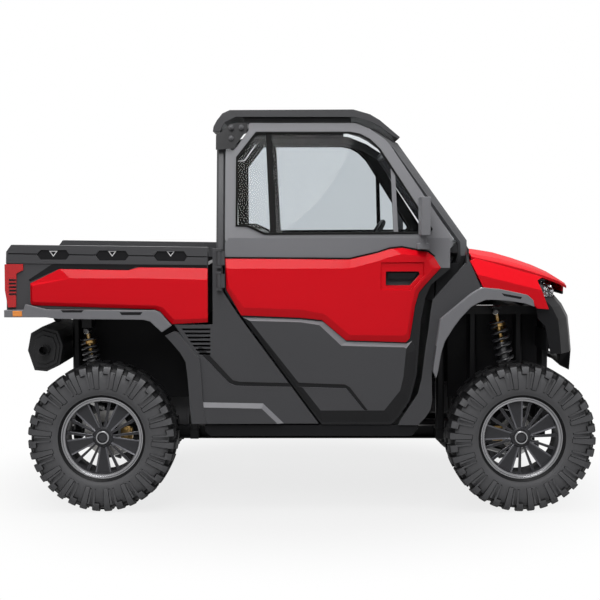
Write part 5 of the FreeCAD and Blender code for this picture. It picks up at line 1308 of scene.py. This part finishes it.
# Name, place, aim, width in metres and power in watts of each soft light
LIGHTS = (
    ("key", (-1.0, -5.4, 4.6), (0, 0, 0.9), 3.2, 235),
    ("fill", (5.0, -3.6, 3.4), (0.6, 0, 0.9), 3.0, 50),
    ("back", (-1.0, 5.2, 4.4), (0, 0, 0.8), 4.5, 110),
    ("top", (0, -1.2, 6.0), (0, -0.2, 0), 4.0, 400),
)
CAMERA_PLACE = -0.002
CAMERA_HEIGHT = 1.500
CAMERA_PITCH = 3.6
CAMERA_LENS = 76.98
FLOOR_THICKNESS = 0.01
FLOOR_COLOUR = (0.30, 0.30, 0.30, 1)
FADE_START = 1.0
FADE_END = 2.2
FADE_NEAR = 0.80
SKY_COLOUR = (0.93, 0.95, 1.0, 1)
SKY_STRENGTH = 0.15


class VEHICLE_OT_stage(bpy.types.Operator):
    """Adds the pale floor, the soft lights, the white surround and the camera"""
    bl_idname = "vehicle.stage"
    bl_label = "Stage"

    def execute(self, context):
        scene = context.scene
        scene.view_settings.view_transform = "Standard"
        floor = block("floor", (0, 0, -FLOOR_THICKNESS / 2), (60, 60, FLOOR_THICKNESS))
        floor.data.materials.append(self.floor_finish())
        self.surround(scene)
        for light in LIGHTS:
            self.soft_light(*light)
        data = bpy.data.cameras.new("camera")
        data.lens = CAMERA_LENS
        data.sensor_width = 36.0
        camera = bpy.data.objects.new("camera", data)
        scene.collection.objects.link(camera)
        camera.location = (CAMERA_PLACE, -scene.vehicle_sizes.camera_distance, CAMERA_HEIGHT)
        camera.rotation_euler = (math.radians(90 - CAMERA_PITCH), 0, 0)
        scene.camera = camera
        return {"FINISHED"}

    def soft_light(self, name, place, aim, size, power):
        data = bpy.data.lights.new(name, "AREA")
        data.shape = "DISK"
        data.size = size
        data.energy = power
        lamp = bpy.data.objects.new(name, data)
        bpy.context.collection.objects.link(lamp)
        lamp.location = place
        way = Vector(aim) - Vector(place)
        lamp.rotation_euler = way.to_track_quat("-Z", "Y").to_euler()

    def seen_directly(self, tree):
        """Node that is one for camera, glossy and transmission rays and none for the rest."""
        path = tree.nodes.new("ShaderNodeLightPath")
        first, second = tree.nodes.new("ShaderNodeMath"), tree.nodes.new("ShaderNodeMath")
        first.operation = second.operation = "MAXIMUM"
        wire(tree, (path, "Is Camera Ray", first, 0), (path, "Is Transmission Ray", first, 1),
             (first, 0, second, 0), (path, "Is Glossy Ray", second, 1))
        return second

    def surround(self, scene):
        world = bpy.data.worlds.new("surround")
        scene.world = world
        world.use_nodes = True
        tree = world.node_tree
        tree.nodes.clear()
        light = tree.nodes.new("ShaderNodeBackground")
        white = tree.nodes.new("ShaderNodeBackground")
        preset(light, {"Color": SKY_COLOUR, "Strength": SKY_STRENGTH})
        preset(white, {"Color": (1, 1, 1, 1)})
        mix, end = tree.nodes.new("ShaderNodeMixShader"), tree.nodes.new("ShaderNodeOutputWorld")
        wire(tree, (self.seen_directly(tree), 0, mix, "Fac"), (light, 0, mix, 1),
             (white, 0, mix, 2), (mix, 0, end, "Surface"))

    def floor_finish(self):
        """Pale floor that keeps the soft shadow and fades into the white surround."""
        material = bpy.data.materials.new("floor")
        material.use_nodes = True
        tree = material.node_tree
        make = tree.nodes.new
        shader, end = tree.nodes["Principled BSDF"], tree.nodes["Material Output"]
        preset(shader, {"Base Color": FLOOR_COLOUR, "Roughness": 0.9, "Specular IOR Level": 0.0})
        place, reach, fade = (make("ShaderNodeTexCoord"), make("ShaderNodeVectorMath"),
                              make("ShaderNodeMapRange"))
        reach.operation = "LENGTH"
        fade.interpolation_type = "SMOOTHSTEP"
        preset(fade, {"From Min": FADE_START, "From Max": FADE_END, "To Min": FADE_NEAR})
        seen, white, mix = (make("ShaderNodeMath"), make("ShaderNodeEmission"),
                            make("ShaderNodeMixShader"))
        seen.operation = "MULTIPLY"
        wire(tree, (place, "Object", reach, 0), (reach, "Value", fade, "Value"),
             (fade, "Result", seen, 0), (self.seen_directly(tree), 0, seen, 1),
             (seen, 0, mix, "Fac"), (shader, 0, mix, 1), (white, 0, mix, 2),
             (mix, 0, end, "Surface"))
        return material


class VEHICLE_PT_pieces(bpy.types.Panel):
    """Lists what makes the vehicle's looks"""
    bl_idname = "VEHICLE_PT_pieces"
    bl_label = "Utility vehicle"
    bl_space_type = "VIEW_3D"
    bl_region_type = "UI"
    bl_category = "Utility vehicle"

    def draw(self, context):
        layout = self.layout
        for group in (context.scene.vehicle_colours, context.scene.vehicle_sizes):
            for key in group.__annotations__:
                layout.prop(group, key)
        for step in STEPS:
            layout.operator(step.bl_idname)


STEPS = (
    VEHICLE_OT_stage, VEHICLE_OT_finishes, VEHICLE_OT_panels, VEHICLE_OT_metalwork,
    VEHICLE_OT_tyres, VEHICLE_OT_wheels, VEHICLE_OT_springs, VEHICLE_OT_steering_wheel,
    VEHICLE_OT_seats, VEHICLE_OT_lamps, VEHICLE_OT_trim, VEHICLE_OT_fasteners,
)
CLASSES = (VehicleColours, VehicleSizes, VEHICLE_PT_pieces) + STEPS


def register():
    for item in CLASSES:
        bpy.utils.register_class(item)
    bpy.types.Scene.vehicle_colours = bpy.props.PointerProperty(type=VehicleColours)
    bpy.types.Scene.vehicle_sizes = bpy.props.PointerProperty(type=VehicleSizes)


def unregister():
    del bpy.types.Scene.vehicle_sizes
    del bpy.types.Scene.vehicle_colours
    for item in reversed(CLASSES):
        bpy.utils.unregister_class(item)


def main():
    register()
    for step in STEPS:
        group, name = step.bl_idname.split(".")
        getattr(getattr(bpy.ops, group), name)()


if __name__ == "__main__":
    main()
